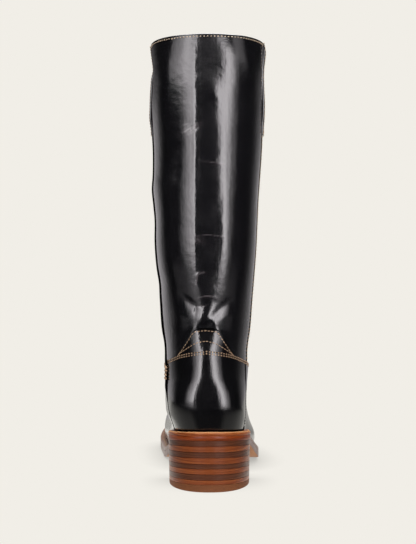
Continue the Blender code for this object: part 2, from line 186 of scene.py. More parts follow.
sideSeam = table(  # place along the foot of the shaft's side seams
    "height  inner  outer",
    (100, 57, 55),
    (142, 62, 60),
    (200, 61.5, 59),
    (280, 62, 56),
    (322, 66, 55),
    (411.6, 70, 57),
)

soleLength, bootHeight = last["soleLength"], last["bootHeight"]
breast, flatStart, seatSlope = last["breast"], last["flatStart"], last["seatSlope"]
ledge, wall = last["ledge"], last["wall"]
tipAlong = soleLength - ledge


def axis(along):
    start = last["swingStart"]
    return last["toeSwing"] * np.clip((along - start) / (soleLength - start), 0, None) ** 2


def halfAt(along, side):
    return smooth(along, outline["along"], outline[side])


def soleHalf(along, side, inset):
    seat = roundEnd((along - inset) / last["heelRound"])
    return (halfAt(along, side) - inset) * seat * roundEnd((soleLength - inset - along) / last["toeRound"])


def thickness(along, ends):
    return ends[0] + (ends[1] - ends[0]) * ease((along - breast) / (flatStart - breast))


def tread(along, x=0.0):  # underside of the outsole: heel seat, arch, flat ball and toe spring
    seat = last["seatHeight"] - last["weltThickness"][0] - last["outsoleThickness"][0]
    span = flatStart - breast
    f = np.clip((along - breast) / span, 0, 1)
    arch = ((seat - seatSlope * breast) * (2 * f + 1) - seatSlope * span * f) * (1 - f) ** 2
    arch = arch * (1 - last["ballSlant"] * x * ease(f) ** 2)
    spring = np.clip((along - last["flatEnd"]) / (soleLength - last["flatEnd"]), 0, 1)
    return np.where(along < breast, seat - seatSlope * along, arch) + last["toeSpring"] * spring**2


def outsoleTop(along, x):
    return tread(along, x) + thickness(along, last["outsoleThickness"])


def weltTop(along, x):
    return outsoleTop(along, x) + thickness(along, last["weltThickness"])


def ridge(along, swell):
    toeBox = roundEnd((tipAlong + swell - along) / last["toeBoxRound"], last["toeBoxPower"])
    return smooth(along, ridgeLine["along"], ridgeLine["rise"]) * toeBox


def vault(rise, along, swell, widest, power):  # share of the half width left at a rise under the ridge
    return roundEnd(1 - np.clip(rise - widest, 0, None) / (ridge(along, swell) - widest), power)


def footRing(row, share, inner):
    ring = [column[row] for column in footRings.values()]
    back, backRise, front, toeRise, swell, ballSwell, lean, power = ring
    along = back + (front - back) * share
    forward = ease((along - last["ankleEnd"]) / (last["ballStart"] - last["ankleEnd"]))
    rise = backRise + (ridge(front, ballSwell) + toeRise - backRise) * share
    part = np.sin(np.pi * (row / (len(footRings["back"]) - 1)) ** last["bulgeLow"])
    bulge, bulgeMiddle, bulgeLength = last["archOverhang"]
    tuck, tuckMiddle, tuckLength = last["outerTuck"]
    innerHalf = halfAt(along, "inner") + part * bulge * hump(along, bulgeMiddle, bulgeLength)
    outerHalf = halfAt(along, "outer") - part * tuck * hump(along, tuckMiddle, tuckLength)
    full = np.where(inner, innerHalf, outerHalf) + swell + (ballSwell - swell) * forward - ledge
    half = full * roundEnd((along - back) / last["heelRound"], power)
    half = half * roundEnd((tipAlong + ballSwell - along) / last["toeRound"])
    if front < tipAlong:
        vaults = [vault(rise, along, ballSwell, *side) for side in zip(last["widestRise"], last["vampPower"])]
        half = half * np.where(inner, *vaults)
    x = axis(along) + lean * (1 - forward) + np.where(inner, -half, half)
    return np.stack([x, along, weltTop(along, x) + last["edgeGap"] + rise], axis=-1)


def shaftRing(row, share, inner):
    height, half, lean, back, depth, power = (column[row] for column in shaftRings.values())
    oval = half * roundEnd(1 - np.abs(2 * share - 1), power)
    x = lean + np.where(inner, -oval, oval)
    return np.stack([x, back + depth * share, np.full_like(share, height)], axis=-1)


def keyRings(u):  # every ring of the upper at the places u: 0 at the back, 0.25 outer side, 0.5 front
    u = np.mod(u, 1.0)
    share = (1 - np.cos(2 * np.pi * u)) / 2
    foot = [footRing(row, share, u > 0.5) for row in range(len(footRings["back"]))]
    return np.array(foot + [shaftRing(row, share, u > 0.5) for row in range(len(shaftRings["height"]))])


ringSteps = np.linalg.norm(np.diff(keyRings(np.arange(0, 1, 1 / 16)), axis=0), axis=-1).mean(axis=1)
ringLevels = np.concatenate([[0], np.cumsum(ringSteps)]) / ringSteps.sum()
upperSpan = 440.0  # rough way from welt to collar
girth = 340.0  # rough way round the shaft
ringColumns = 2880  # the rings are read from a fine table, which is much faster
ringTable = keyRings(np.arange(ringColumns + 1) / ringColumns)
slopeTable = slopes(ringLevels, ringTable)


def loft(u, v):  # the upper's outside: u once round, v from the welt (0) to the collar (1)
    place = np.mod(u, 1.0) * ringColumns
    left = np.minimum(place.astype(int), ringColumns - 1)
    part = (place - left)[:, None]
    k = np.clip(np.searchsorted(ringLevels, v, side="right") - 1, 0, len(ringLevels) - 2)
    width = ringLevels[k + 1] - ringLevels[k]
    f = (v - ringLevels[k]) / width
    ends = [grid[ring, left] * (1 - part) + grid[ring, left + 1] * part
            for grid in (ringTable, slopeTable) for ring in (k, k + 1)]
    return between(f[:, None], width[:, None], *ends)


def spread(*values):
    return np.broadcast_arrays(*(np.asarray(value, float) for value in values))


def skin(u, v, out=0.0):  # points of the upper, moved out along its normals
    u, v = spread(u, v)
    flatU, flatV = u.ravel(), v.ravel()
    nudge = 0.5 / upperSpan
    points = loft(flatU, flatV)
    if np.any(out):
        acrossStep = loft(flatU + nudge, flatV) - loft(flatU - nudge, flatV)
        upStep = loft(flatU, np.clip(flatV + nudge, 0, 1)) - loft(flatU, np.clip(flatV - nudge, 0, 1))
        normal = np.cross(acrossStep, upStep)
        normal /= np.linalg.norm(normal, axis=-1, keepdims=True)
        points = points + normal * np.broadcast_to(out, u.shape).reshape(-1, 1)
    return points.reshape(u.shape + (3,))


def halve(shape, low, high, short, rounds):  # where short stops being true, by halving
    low, high = np.full(shape, low), np.full(shape, high)
    for _ in range(rounds):
        middle = (low + high) / 2
        under = short(middle)
        low, high = np.where(under, middle, low), np.where(under, high, middle)
    return (low + high) / 2


def levelAt(u, height):  # v at which the upper reaches a height
    u, height = spread(u, height)
    return halve(u.shape, 0.0, 1.0, lambda v: skin(u, v)[..., 2] < height, 24)


def seamLevel(u, lift):  # v of the ankle seam, read from a fine table
    places = np.linspace(0, 1, 241)
    share = 1 - np.abs(1 - 2 * places)
    levels = levelAt(places, smooth(share, ankleSeam["share"], ankleSeam["height"]) + lift)
    return np.interp(np.mod(u, 1.0), places, levels)


def seamU(side, height, ahead=0.0):  # u of a side seam of the shaft, or of a line ahead of it
    height = np.asarray(height, float)
    target = smooth(height, sideSeam["height"], sideSeam[side]) + ahead

    def place(half):
        return 1 - half if side == "inner" else half

    def behind(half):
        return skin(place(half), levelAt(place(half), height))[..., 1] < target

    return place(halve(height.shape, 0.0, 0.5, behind, 19))


def backU(x, height):  # u at the back of the boot for a sideways place and a height
    x, height = spread(x, height)
    return halve(x.shape, -0.24, 0.24, lambda u: skin(u, levelAt(u, height))[..., 0] < x, 20)


print("last ready")


# Folds of the back: soft ridges and troughs (rise below 0), each with its place seen from
# behind, half length, half width, turn from level in degrees, bow and rise

backFolds = table(
    "x  height  long  wide  turn  bow  rise",
    (7, 295.4, 9, 1.3, -7, 0.002, 0.16),  # hair crease under the calf
    (4, 230.2, 12, 1.4, -4, -0.004, 0.16),  # long hair crease
    (-9, 196.0, 4.5, 1.4, 35, -0.03, 0.22),  # hooked crease
    (-1.7, 175.5, 10, 1.4, 0, -0.024, 0.16),  # arc over the heel dent
    (-4, 167.0, 34, 9.0, 0, 0.0, -1.05),  # bend of the ankle, all across the back
    (8.5, 161.5, 13, 3.8, 43, 0.0, -0.95),  # slanting trough, outer side
    (-19.5, 170.5, 10, 3.4, -43, 0.0, -0.75),  # the same, inner side
    (-12.8, 164.0, 7, 1.7, 88, 0.0, -0.28),  # upright trough, inner side
    (-7.7, 166.0, 4, 1.5, 0, 0.04, -0.24),  # small smile
    (-19, 327.0, 5, 1.5, 30, 0.0, -0.30),  # rub below the pull strap
    (-15, 324.5, 5, 1.4, 30, 0.0, -0.26),
    (-21, 331.5, 5, 1.4, 24, 0.0, -0.16),
    (3, 362.0, 17, 6.0, -62, 0.0, 0.4),  # slanting ripple under the collar
    (-1.5, 158.0, 12, 8.0, 90, 0.0, 0.40),  # soft ridge down the middle, above the yoke
    (-3.0, 147.5, 6.5, 5.0, 0, 0.0, -1.3),  # hollow under it, at the yoke's upper edge
    (-20.6, 136.0, 15, 1.9, 57, 0.0, 0.55),  # leather drawn up round the yoke, inner side
    (13.8, 136.0, 15, 1.9, -57, 0.0, 0.55),  # the same, outer side
    (-12.9, 285.0, 110, 2.4, 90, 0.0, 0.15),  # edge of the pressed inner half, all down the shaft
    (-32, 300.0, 115, 15.0, 90, 0.0, -1.5),  # the pressed half itself
    (-31, 387.0, 21, 13.0, 90, 0.0, -0.75),  # deeper under the collar
    (13, 352.0, 24, 8.0, 90, 0.0, -0.45),  # shallow dents down the outer half
    (26, 402.0, 18, 12.0, 90, 0.0, 0.8),
    (15, 222.0, 44, 6.5, 90, 0.0, 0.6),  # round shoulder down the outer half of the calf
    (-26, 160.0, 10, 8.0, 90, 0.0, 0.85),  # fuller leather beside the dents above the yoke
    (21, 158.0, 10, 7.0, 90, 0.0, 0.6),
    (-17, 159.0, 5, 2.2, 62, 0.0, 0.14),  # crumples above the yoke
    (15.5, 157.0, 6, 2.2, 32, 0.0, 0.28),
    (6, 151.0, 5, 2.0, -30, 0.0, 0.24),
    (3, 180.0, 11, 8.0, 90, 0.0, -0.25),  # flatter middle above the bend
    (-2.5, 138.0, 9, 8.0, 90, 0.0, -0.85),  # flat middle of the yoke
    (-26, 312.0, 27, 8.0, 90, 0.0, 0.5),  # wider gleam below the inner pull strap
)

counterFolds = table(  # two soft shoulders that draw the counter's highlights narrow
    "x  height  long  wide  turn  bow  rise",
    (-13, 106.0, 13, 6.0, 76, 0.0, 0.25),
    (11, 106.0, 13, 6.0, 104, 0.0, 0.3),
)

hairLines = table(  # fine creases, paler than the leather round them
    "x  height  long  wide  turn  bow  rise",
    (-2, 296.4, 6, 0.45, -5, 0.0, 0.24),
    (7, 295.4, 6, 0.5, -7, 0.006, 0.42),
    (12, 294.2, 6, 0.5, 3, 0.0, 0.32),
    (-7, 230.4, 7, 0.45, 5, 0.0, 0.24),
    (3, 230.5, 7, 0.5, -5, -0.004, 0.36),
    (12, 229.0, 7, 0.45, -8, 0.0, 0.26),
    (-11, 226.0, 5, 3.0, -12, 0.0, 0.22),
    (-7.5, 196.5, 3.5, 0.7, 20, -0.06, 0.7),
    (-11.2, 191.0, 5, 0.7, 80, 0.0, 0.5),
    (-1.7, 175.5, 10, 0.7, 0, -0.024, 0.5),
    (-15, 327.0, 7, 2.6, 24, 0.0, 0.35),
    (-7.7, 166.0, 4, 0.8, 0, 0.04, 0.5),
)

sideWaves = table(  # soft waves down the inner side of the shaft
    "height  tall  rise",
    (275, 9, 0.8),
    (245, 15, -1.2),
    (186, 10, -0.8),
)

creases = {"foldsFrom": 116.0, "foldsFade": 16.0, "waveMiddle": 0.75, "waveReach": 0.15, "backReach": 1.5}


def onBack(lines, u, points):  # sum of soft lines drawn on the back
    x, height = points[..., 0], points[..., 2]
    total = np.zeros(x.shape)
    for place, level, long, wide, turn, bow, rise in zip(*lines.values()):
        c, s = math.cos(math.radians(turn)), math.sin(math.radians(turn))
        a = c * (x - place) + s * (height - level)
        b = c * (height - level) - s * (x - place) - bow * a * a
        total = total + rise * np.exp(-((a / long) ** 2) - (b / wide) ** 2)
    return total * ease(creases["backReach"] * np.cos(2 * np.pi * u))


def relief(u, points):
    height = points[..., 2]
    push = onBack(backFolds, u, points)
    inner = hump(np.mod(u, 1.0), creases["waveMiddle"], creases["waveReach"])
    for level, tall, rise in zip(*sideWaves.values()):
        push = push + rise * inner * hump(height, level, tall)
    push = push * ease((height - creases["foldsFrom"]) / creases["foldsFade"])
    return push + onBack(counterFolds, u, points)


# Meshes

def gridFaces(rows, columns, start=0, closedRows=False, closedColumns=False):
    r = np.arange(rows if closedRows else rows - 1)[:, None]
    c = np.arange(columns if closedColumns else columns - 1)[None, :]
    upper, right = (r + 1) % rows, (c + 1) % columns
    corners = [r * columns + c, r * columns + right, upper * columns + right, upper * columns + c]
    return (np.stack(corners, axis=-1).reshape(-1, 4) + start).tolist()


def addPiece(name, points, faces, finishes, faceFinish=None, *, sharp):
    places = (np.asarray(points, float).reshape(-1, 3) - (0, soleLength / 2, 0)) / 1000
    mesh = bpy.data.meshes.new(name)
    mesh.from_pydata(places.tolist(), [], faces)
    for finish in finishes:
        mesh.materials.append(finish)
    if faceFinish is not None:
        mesh.polygons.foreach_set("material_index", np.asarray(faceFinish, np.int32))
    shape = bmesh.new()
    shape.from_mesh(mesh)
    bmesh.ops.remove_doubles(shape, verts=shape.verts, dist=2e-6)
    bmesh.ops.recalc_face_normals(shape, faces=shape.faces)
    shape.to_mesh(mesh)
    shape.free()
    mesh.shade_smooth()
    mesh.set_sharp_from_angle(angle=math.radians(sharp))
    piece = bpy.data.objects.new(name, mesh)
    bpy.context.scene.collection.objects.link(piece)
    return piece


def standIn(piece, node):  # the piece rides on the boot and is shown in the node's place
    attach(piece, "root")
    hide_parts(node)
    return piece


def shell(name, low, high, finishes, inkOrShade=None):  # closed panel between two grids of points
    rows, columns = low.shape[:2]
    count = rows * columns
    faces = gridFaces(rows, columns) + gridFaces(rows, columns, count)
    borders = [[(i, j) for j in range(columns)] for i in (0, rows - 1)]
    borders += [[(i, j) for i in range(rows)] for j in (0, columns - 1)]
    for border in borders:
        at = [i * columns + j for i, j in border]
        faces += [(a, b, b + count, a + count) for a, b in zip(at, at[1:])]
    faceFinish = None
    if inkOrShade is not None:  # second finish on the turned edges: edge ink that is also painted shade
        corners = inkOrShade[:-1, :-1] & inkOrShade[1:, :-1] & inkOrShade[:-1, 1:] & inkOrShade[1:, 1:]
        faceFinish = np.ones(len(faces), int)
        faceFinish[corners.size:2 * corners.size] = corners.ravel()
    points = np.concatenate([low.reshape(-1, 3), high.reshape(-1, 3)])
    return addPiece(name, points, faces, finishes, faceFinish, sharp=70)


def crowded(count, edge):  # shares from 0 to 1, close together within an edge's share at both ends
    steps = edge * np.array([0, 0.06, 0.2, 0.42, 0.7, 1.0])
    return np.concatenate([steps, np.linspace(edge, 1 - edge, count)[1:-1], 1 - steps[::-1]])


def edgeDistance(points, openEdges):  # millimetres from each point of a grid to its nearest open edge
    far = np.full(points.shape[:2], 1e3)
    for edge in openEdges:
        direction = 1 if edge in ("left", "right") else 0
        steps = np.linalg.norm(np.diff(points, axis=direction), axis=-1)
        first = np.zeros_like(np.take(steps, [0], axis=direction))
        way = np.concatenate([first, np.cumsum(steps, axis=direction)], axis=direction)
        if edge in ("right", "top"):
            way = np.take(way, [-1], axis=direction) - way
        far = np.minimum(far, way)
    return far


leather = {"sink": 0.25, "proud": 0.02, "overWelt": 0.05}  # underside and outside of a panel, gap to the welt


def weltLine(points):
    return weltTop(points[..., 1], points[..., 0]) + leather["overWelt"]


# Turned edges take the second finish, matte black that is edge ink and also painted shade in the seams;
# a strip along the foot takes it too, as painted shade in the crevice over the welt
def leatherPanel(name, u, v, finishes, rise, edge, openEdges, lift=0.0, edgeInkAndShade=1.02, paintedFootShade=0.0):
    flat = skin(u, v)
    bumps = relief(u, flat) + lift
    turned = edgeDistance(flat, openEdges) / edge
    top = rise * np.sqrt(1 - (1 - np.clip(turned, 0, 1)) ** 2)
    low, high = skin(u, v, bumps - leather["sink"]), skin(u, v, bumps + top + leather["proud"])
    for face in (low, high):
        face[..., 2] = np.maximum(face[..., 2], weltLine(face))
    inkOrShade = (turned < edgeInkAndShade) | (edgeDistance(flat, ("bottom",)) < paintedFootShade)
    return shell(name, low, high, finishes, inkOrShade)


# Materials

def linear(hexColour):
    parts = [int(hexColour[i:i + 2], 16) / 255 for i in (1, 3, 5)]
    return [c / 12.92 if c <= 0.04045 else ((c + 0.055) / 1.055) ** 2.4 for c in parts] + [1.0]


def feed(tree, node, inputs):  # a node or a socket is linked, anything else is the input's own value
    for name, value in dict(inputs).items():
        if isinstance(value, bpy.types.Node):
            value = next(socket for socket in value.outputs if socket.enabled)
        if isinstance(value, bpy.types.NodeSocket):
            tree.links.new(value, node.inputs[name])
        else:
            node.inputs[name].default_value = value


def addNode(tree, kind, inputs=(), **settings):  # shader kinds are given without their prefix
    node = tree.nodes.new(kind if "Node" in kind else "ShaderNode" + kind)
    for name, value in settings.items():
        setattr(node, name, value)
    feed(tree, node, inputs)
    return node


eased = {"interpolation_type": "SMOOTHSTEP"}  # for ranges without a hard start or end


def newMaterial(name):  # the material, its tree, its shader and the place on the boot
    made = bpy.data.materials.new(name)
    made.use_nodes = True
    tree = made.node_tree
    return made, tree, tree.nodes["Principled BSDF"], addNode(tree, "TexCoord").outputs["Object"]


def perMetre(millimetres):  # texture scale that repeats about once in so many millimetres
    return 1000.0 / millimetres


def polishedCalf(name, colour, tone, wavy, glossRoughness):
    # Polished black calf: drum dyed, glazed and waxed. Near black under a clear gloss, with brush streaks
    finish = {"roughness": 0.15, "gloss": 0.7, "pore": 1.1, "streak": 2.2, "streakLength": 70.0,
              "rub": 16.0, "wave": 9.0, "creaseColour": "#6d6668"}
    made, tree, shader, where = newMaterial(name)
    pores = addNode(tree, "TexVoronoi", {"Vector": where, "Scale": perMetre(finish["pore"])})
    along = addNode(tree, "Mapping", {"Vector": where, "Scale": (
        perMetre(finish["streak"]), perMetre(finish["streak"]), perMetre(finish["streakLength"]))})
    streaks = addNode(tree, "TexNoise", {"Vector": along, "Scale": 1.0, "Detail": 3.0})
    rubs = addNode(tree, "TexNoise", {"Vector": where, "Scale": perMetre(finish["rub"]), "Detail": 4.0})
    haze = addNode(tree, "MapRange", {
        "Value": rubs, "From Min": 0.35, "From Max": 0.75,
        "To Min": finish["roughness"] - 0.02, "To Max": finish["roughness"] + 0.05})
    tint = addNode(tree, "Mix", {"Factor": rubs, "A": linear(colour), "B": linear(tone)}, data_type="RGBA")
    creased = addNode(tree, "Attribute", attribute_name="paleCrease")  # paler along the hair creases
    broken = addNode(tree, "MapRange", {"Value": streaks, "From Min": 0.35, "From Max": 0.65, "To Min": 0.4})
    patchy = addNode(tree, "Math", {0: creased.outputs["Fac"], 1: broken}, operation="MULTIPLY")
    shade = addNode(tree, "Mix", {"Factor": patchy, "A": tint, "B": linear(finish["creaseColour"])}, data_type="RGBA")
    waves = addNode(tree, "TexNoise", {"Vector": where, "Scale": perMetre(finish["wave"]), "Detail": 2.0})
    waveBump = addNode(tree, "Bump", {"Height": waves, "Strength": wavy, "Distance": 0.0012})
    poreBump = addNode(tree, "Bump", {
        "Height": pores, "Strength": 0.12, "Distance": 0.0002, "Normal": waveBump})
    streakBump = addNode(tree, "Bump", {
        "Height": streaks, "Strength": 0.16, "Distance": 0.0004, "Normal": poreBump})
    feed(tree, shader, {
        "Base Color": shade, "Roughness": haze, "Normal": streakBump, "Coat Normal": streakBump, "IOR": 1.5,
        "Coat Weight": finish["gloss"], "Coat Roughness": glossRoughness})
    return made


def stackedLeather(name, colour, dark, pale, roughness, gloss, foreDullAndSheen=None):
    # Layers of sole leather, trimmed, sanded and waxed: fine level fibres, darker pores, a soft wax sheen
    # (fibres drawn about twice as coarse as real ones, so that they show)
    finish = {"fibre": 0.45, "fibreLength": 140.0, "mottle": 7.0}
    made, tree, shader, where = newMaterial(name)
    level = addNode(tree, "Mapping", {"Vector": where, "Scale": (
        perMetre(finish["fibreLength"]), perMetre(finish["fibreLength"]), perMetre(finish["fibre"] * 2))})
    fibres = addNode(tree, "TexNoise", {"Vector": level, "Scale": 1.0, "Detail": 5.0, "Roughness": 0.62})
    mottle = addNode(tree, "TexNoise", {"Vector": where, "Scale": perMetre(finish["mottle"]), "Detail": 5.0})
    ramp = addNode(tree, "ValToRGB", {"Fac": fibres})
    ramp.color_ramp.elements[0].position, ramp.color_ramp.elements[0].color = 0.38, linear(dark)
    ramp.color_ramp.elements[1].position, ramp.color_ramp.elements[1].color = 0.62, linear(pale)
    ramp.color_ramp.elements.new(0.5).color = linear(colour)
    plain = addNode(tree, "Math", {0: mottle, 1: 0.5}, operation="MULTIPLY")
    shade = addNode(tree, "Mix", {"Factor": plain, "A": ramp, "B": linear(colour)}, data_type="RGBA")
    if foreDullAndSheen:  # ahead of the heel the edge is greyer: a duller dressing, and painted sheen where light grazes it
        apart = addNode(tree, "SeparateXYZ", {"Vector": where})
        ahead = addNode(tree, "MapRange", {"Value": apart.outputs["Y"], "From Min": -0.06, "From Max": -0.04})
        share = addNode(tree, "Math", {0: ahead, 1: 0.85}, operation="MULTIPLY")
        shade = addNode(tree, "Mix", {"Factor": share, "A": shade, "B": linear(foreDullAndSheen)}, data_type="RGBA")
    wax = addNode(tree, "MapRange", {
        "Value": mottle, "From Min": 0.3, "From Max": 0.7,
        "To Min": roughness - 0.06, "To Max": roughness + 0.08})
    bump = addNode(tree, "Bump", {"Height": fibres, "Strength": 0.25, "Distance": 0.0003})
    feed(tree, shader, {"Base Color": shade, "Roughness": wax, "Normal": bump, "Specular IOR Level": 0.2,
                        "Coat Weight": gloss, "Coat Roughness": 0.22})
    return made


def plainLeather(name, colour, tone, grain, roughness, sheen=0.25):
    # Matt leather of lining, footbed, tread and piping, and the heel's moulded rubber: an even fine nap with
    # soft blotches
    made, tree, shader, where = newMaterial(name)
    nap = addNode(tree, "TexNoise", {"Vector": where, "Scale": perMetre(grain), "Detail": 6.0})
    blotch = addNode(tree, "TexNoise", {"Vector": where, "Scale": perMetre(30.0), "Detail": 3.0})
    both = addNode(tree, "Math", {0: nap, 1: blotch}, operation="MULTIPLY")
    share = addNode(tree, "MapRange", {"Value": both, "From Min": 0.12, "From Max": 0.42})
    shade = addNode(tree, "Mix", {"Factor": share, "A": linear(tone), "B": linear(colour)}, data_type="RGBA")
    bump = addNode(tree, "Bump", {"Height": nap, "Strength": 0.3, "Distance": 0.0003})
    feed(tree, shader, {
        "Base Color": shade, "Normal": bump, "Roughness": roughness, "Specular IOR Level": sheen})
    return made


def waxedThread(name, colour, tone):
    # Waxed polyester thread: twisted strands, a dull sheen. The twist is drawn coarse enough to show
    made, tree, shader, where = newMaterial(name)
    strands = addNode(tree, "TexNoise", {"Vector": where, "Scale": perMetre(0.7), "Detail": 3.0})
    shade = addNode(tree, "Mix", {
        "Factor": strands, "A": linear(tone), "B": linear(colour)}, data_type="RGBA")
    bump = addNode(tree, "Bump", {"Height": strands, "Strength": 0.4, "Distance": 0.0002})
    feed(tree, shader, {"Base Color": shade, "Normal": bump, "Roughness": 0.55})
    return made


calf = polishedCalf("polished black calf", "#0b0b0d", "#121214", 0.2, 0.07)
firmCalf = polishedCalf("stiffened black calf", "#0b0b0d", "#121214", 0.07, 0.1)
# matte black calf for the piping and the edge ink, also laid on as painted shade in seams and along feet
pipingCalfAndShade = plainLeather("black piping calf and painted shade", "#080707", "#050505", 0.9, 0.8, 0.02)
lining = plainLeather("natural calf lining", "#a98a68", "#80654a", 0.8, 0.7)
footbedLeather = plainLeather("natural footbed leather", "#a5815d", "#7c5d41", 1.2, 0.66)
treadLeather = plainLeather("bark tanned tread leather", "#b0794c", "#85532f", 1.0, 0.55)
weltEdge = stackedLeather("waxed welt leather", "#a25226", "#7a3715", "#c27238", 0.36, 0.24, "#7d6a60")
# pale natural welt leather, made paler still to paint the highlight along the round of the edge
weltRimAndHighlight = plainLeather("natural welt leather and painted highlight", "#f0b27a", "#c58a55", 0.9, 0.5)
soleEdge = stackedLeather("waxed outsole edge", "#8c3d17", "#69290d", "#aa5526", 0.36, 0.2, "#75605a")
lightLift = stackedLeather("red brown lift leather", "#8e4721", "#6a3013", "#b06636", 0.36, 0.24)
darkLift = stackedLeather("dark brown lift leather", "#60341f", "#482615", "#79482d", 0.38, 0.22)
wearRubber = plainLeather("brown heel rubber", "#88522f", "#744426", 0.9, 0.6)
tanThread = waxedThread("tan waxed thread", "#d6b694", "#97785a")
blackThread = waxedThread("black waxed thread", "#1d1b1a", "#0d0c0c")
weltThread = waxedThread("natural welt thread", "#a98c68", "#806446")
collarThread = waxedThread("pale collar thread", "#e6d2b6", "#b59c7e")
print("finishes made")


# Upper: one hollow shell, rolled over at the collar, with its lining inside

shaft = {"backColumns": 144, "frontColumns": 74, "backReach": 54.0, "footRows": 26, "footTop": 96.0,
         "shaftRows": 334, "liningRows": 56, "rollSteps": 7}


def upperColumns():
    reach = shaft["backReach"] / girth
    back = np.linspace(-reach, reach, shaft["backColumns"], endpoint=False)
    return np.concatenate([back, np.linspace(reach, 1 - reach, shaft["frontColumns"], endpoint=False)])


def addUpper():
    u = upperColumns()[None, :]
    roll = wall / 2
    rollStart = 1 - roll / upperSpan
    footTop = float(levelAt(0.3, shaft["footTop"]))
    v = np.concatenate([np.linspace(0, footTop, shaft["footRows"], endpoint=False),
                        np.linspace(footTop, rollStart, shaft["shaftRows"])])[:, None]
    flat = skin(u, v)
    outside = skin(u, v, relief(u, flat))
    outside[0, :, 2] = weltLine(outside[0])
    collarRelief = relief(u, skin(u, np.ones_like(u)))
    rollTop = []
    for turn in np.linspace(0, np.pi, shaft["rollSteps"]):
        ring = skin(u, np.ones_like(u), collarRelief + roll * (np.cos(turn) - 1))
        ring[..., 2] = bootHeight - roll + roll * np.sin(turn)
        rollTop.append(ring)
    w = np.linspace(rollStart, 0, shaft["liningRows"])[:, None]
    inside = skin(u, w, relief(u, skin(u, w)) - wall)
    floor = weltLine(inside)
    inside[..., 2] = np.clip(inside[..., 2], floor, bootHeight - roll)
    inside[-1, :, 2] = floor[-1]
    rings = np.concatenate([outside] + rollTop[1:-1] + [inside])
    rows, columns = rings.shape[:2]
    faces = gridFaces(rows, columns, closedRows=True, closedColumns=True)
    liningStart = len(outside) + shaft["rollSteps"] - 3
    lined = (np.repeat(np.arange(rows), columns) >= liningStart).astype(int)
    piece = addPiece("upper_shell", rings, faces, [calf, lining], lined, sharp=75)
    paleCrease = np.zeros(rows * columns)
    paleCrease[:flat.shape[0] * columns] = onBack(hairLines, u, flat).ravel()
    piece.data.attributes.new("paleCrease", "FLOAT", "POINT").data.foreach_set("value", paleCrease)
    return standIn(piece, "upper")


addUpper()
print("upper made")


# Vamp and counter: leather from the welt up to the ankle seam, edges turned

allEdges = ("left", "right", "top", "bottom")
panels = {"seamLift": 2.0, "edge": 1.3, "counterEdge": (0.206, 0.302), "vampGap": 0.003, "counterRise": 1.9,
          "vampRise": 2.0, "yokeRise": 1.6, "paintedFootShade": 3.3}


def counterEdge(row):
    low, high = panels["counterEdge"]
    return (low + (high - low) * row) / 2


def footPanel(name, node, across, columns, rows, rise):
    column, row = crowded(columns, 0.012)[None, :], crowded(rows, 0.014)[:, None]
    u = across(column, row)
    v = seamLevel(u, panels["seamLift"]) * row
    piece = leatherPanel(name, u, v, [firmCalf, pipingCalfAndShade], rise, panels["edge"], allEdges,
                         paintedFootShade=panels["paintedFootShade"])
    return standIn(piece, node)


def vampAcross(column, row):
    edge = counterEdge(row) + panels["vampGap"]
    return edge + (1 - 2 * edge) * column


footPanel("counter", "heel_counter", lambda column, row: counterEdge(row) * (2 * column - 1), 110, 90,
          panels["counterRise"])
footPanel("vamp_panel", "vamp", vampAcross, 170, 100, panels["vampRise"])


# Yoke: small trapezoid above the counter, its foot tucked under it

# the last width: the yoke's matte black edge, edge ink that also paints the shade of the gap round it
yoke = {"halfLow": 0.196, "halfHigh": 0.076, "top": 146.8, "foot": 118.0, "slantFrom": 122.0, "corner": 2.6,
        "edgeInkAndShade": 1.7}


def addYoke():
    column, row = crowded(70, 0.03)[None, :] * 2 - 1, crowded(50, 0.04)[:, None]
    heights = yoke["foot"] + (yoke["top"] - yoke["foot"] - yoke["corner"] * np.abs(column) ** 5) * row
    rise = np.clip((heights - yoke["slantFrom"]) / (yoke["top"] - yoke["slantFrom"]), 0, 1)
    u = column * (yoke["halfLow"] + (yoke["halfHigh"] - yoke["halfLow"]) * rise) / 2
    v = levelAt(u, heights + np.zeros_like(u))
    piece = leatherPanel("yoke_patch", u, v, [calf, pipingCalfAndShade], panels["yokeRise"], panels["edge"],
                         ("left", "right", "top"), edgeInkAndShade=yoke["edgeInkAndShade"])
    return standIn(piece, "back_yoke")


addYoke()
print("panels made")


# Side seams: round piping from the ankle seam to the pull strap, then the strap

sides = {
    "pipingWidth": {"inner": 3.2, "outer": 2.4}, "pipingRise": {"inner": 1.75, "outer": 0.7},
    "pipingFoot": 104.0, "pipingTuck": 3.0, "pipingSink": 0.3, "pipingLift": 0.05,
    "weltUnder": 0.2, "weltSink": 0.5,
    "strapFoot": 326.5, "strapTop": 411.3, "strapHalf": 0.056, "strapRise": 1.9, "strapEdge": 1.0,
    "strapAhead": {"inner": 5.0, "outer": 0.0}, "strapInkAndShade": {"inner": 0.25, "outer": 0.0},
    # The bead along the counter: shares of its way up, half widths and rises there
    "weltBead": {
        "inner": ((0.06, 0.2, 0.32, 0.45, 1.0), (0.3, 0.9, 1.8, 2.2, 2.2), (0.2, 0.4, 1.2, 2.0, 2.2)),
        "outer": ((0.1, 0.22, 0.35, 0.6), (0.3, 1.0, 1.0, 0.3), (0.3, 0.6, 0.6, 0.3)),
    },
}

strapLift = table(  # how far each strap stands off the shaft or is pressed into it, by height
    "height  inner  outer",
    (326.5, 0.2, 0.0),
    (333, 0.2, -0.1),
    (342, 0.9, 0.4),
    (352, 0.5, 0.5),
    (370, 0.5, -0.3),
    (380, 0.1, -0.6),
    (388, -1.5, -0.5),
    (398, -1.3, 0.1),
    (404, -1.1, 0.2),
    (411.6, -1.0, -1.4),
)


def layBead(name, u, v, under, over):  # round bead on the leather, between two heights over it
    base = relief(u, skin(u, v))
    return shell(name, skin(u, v, base + under), skin(u, v, base + over), [pipingCalfAndShade])


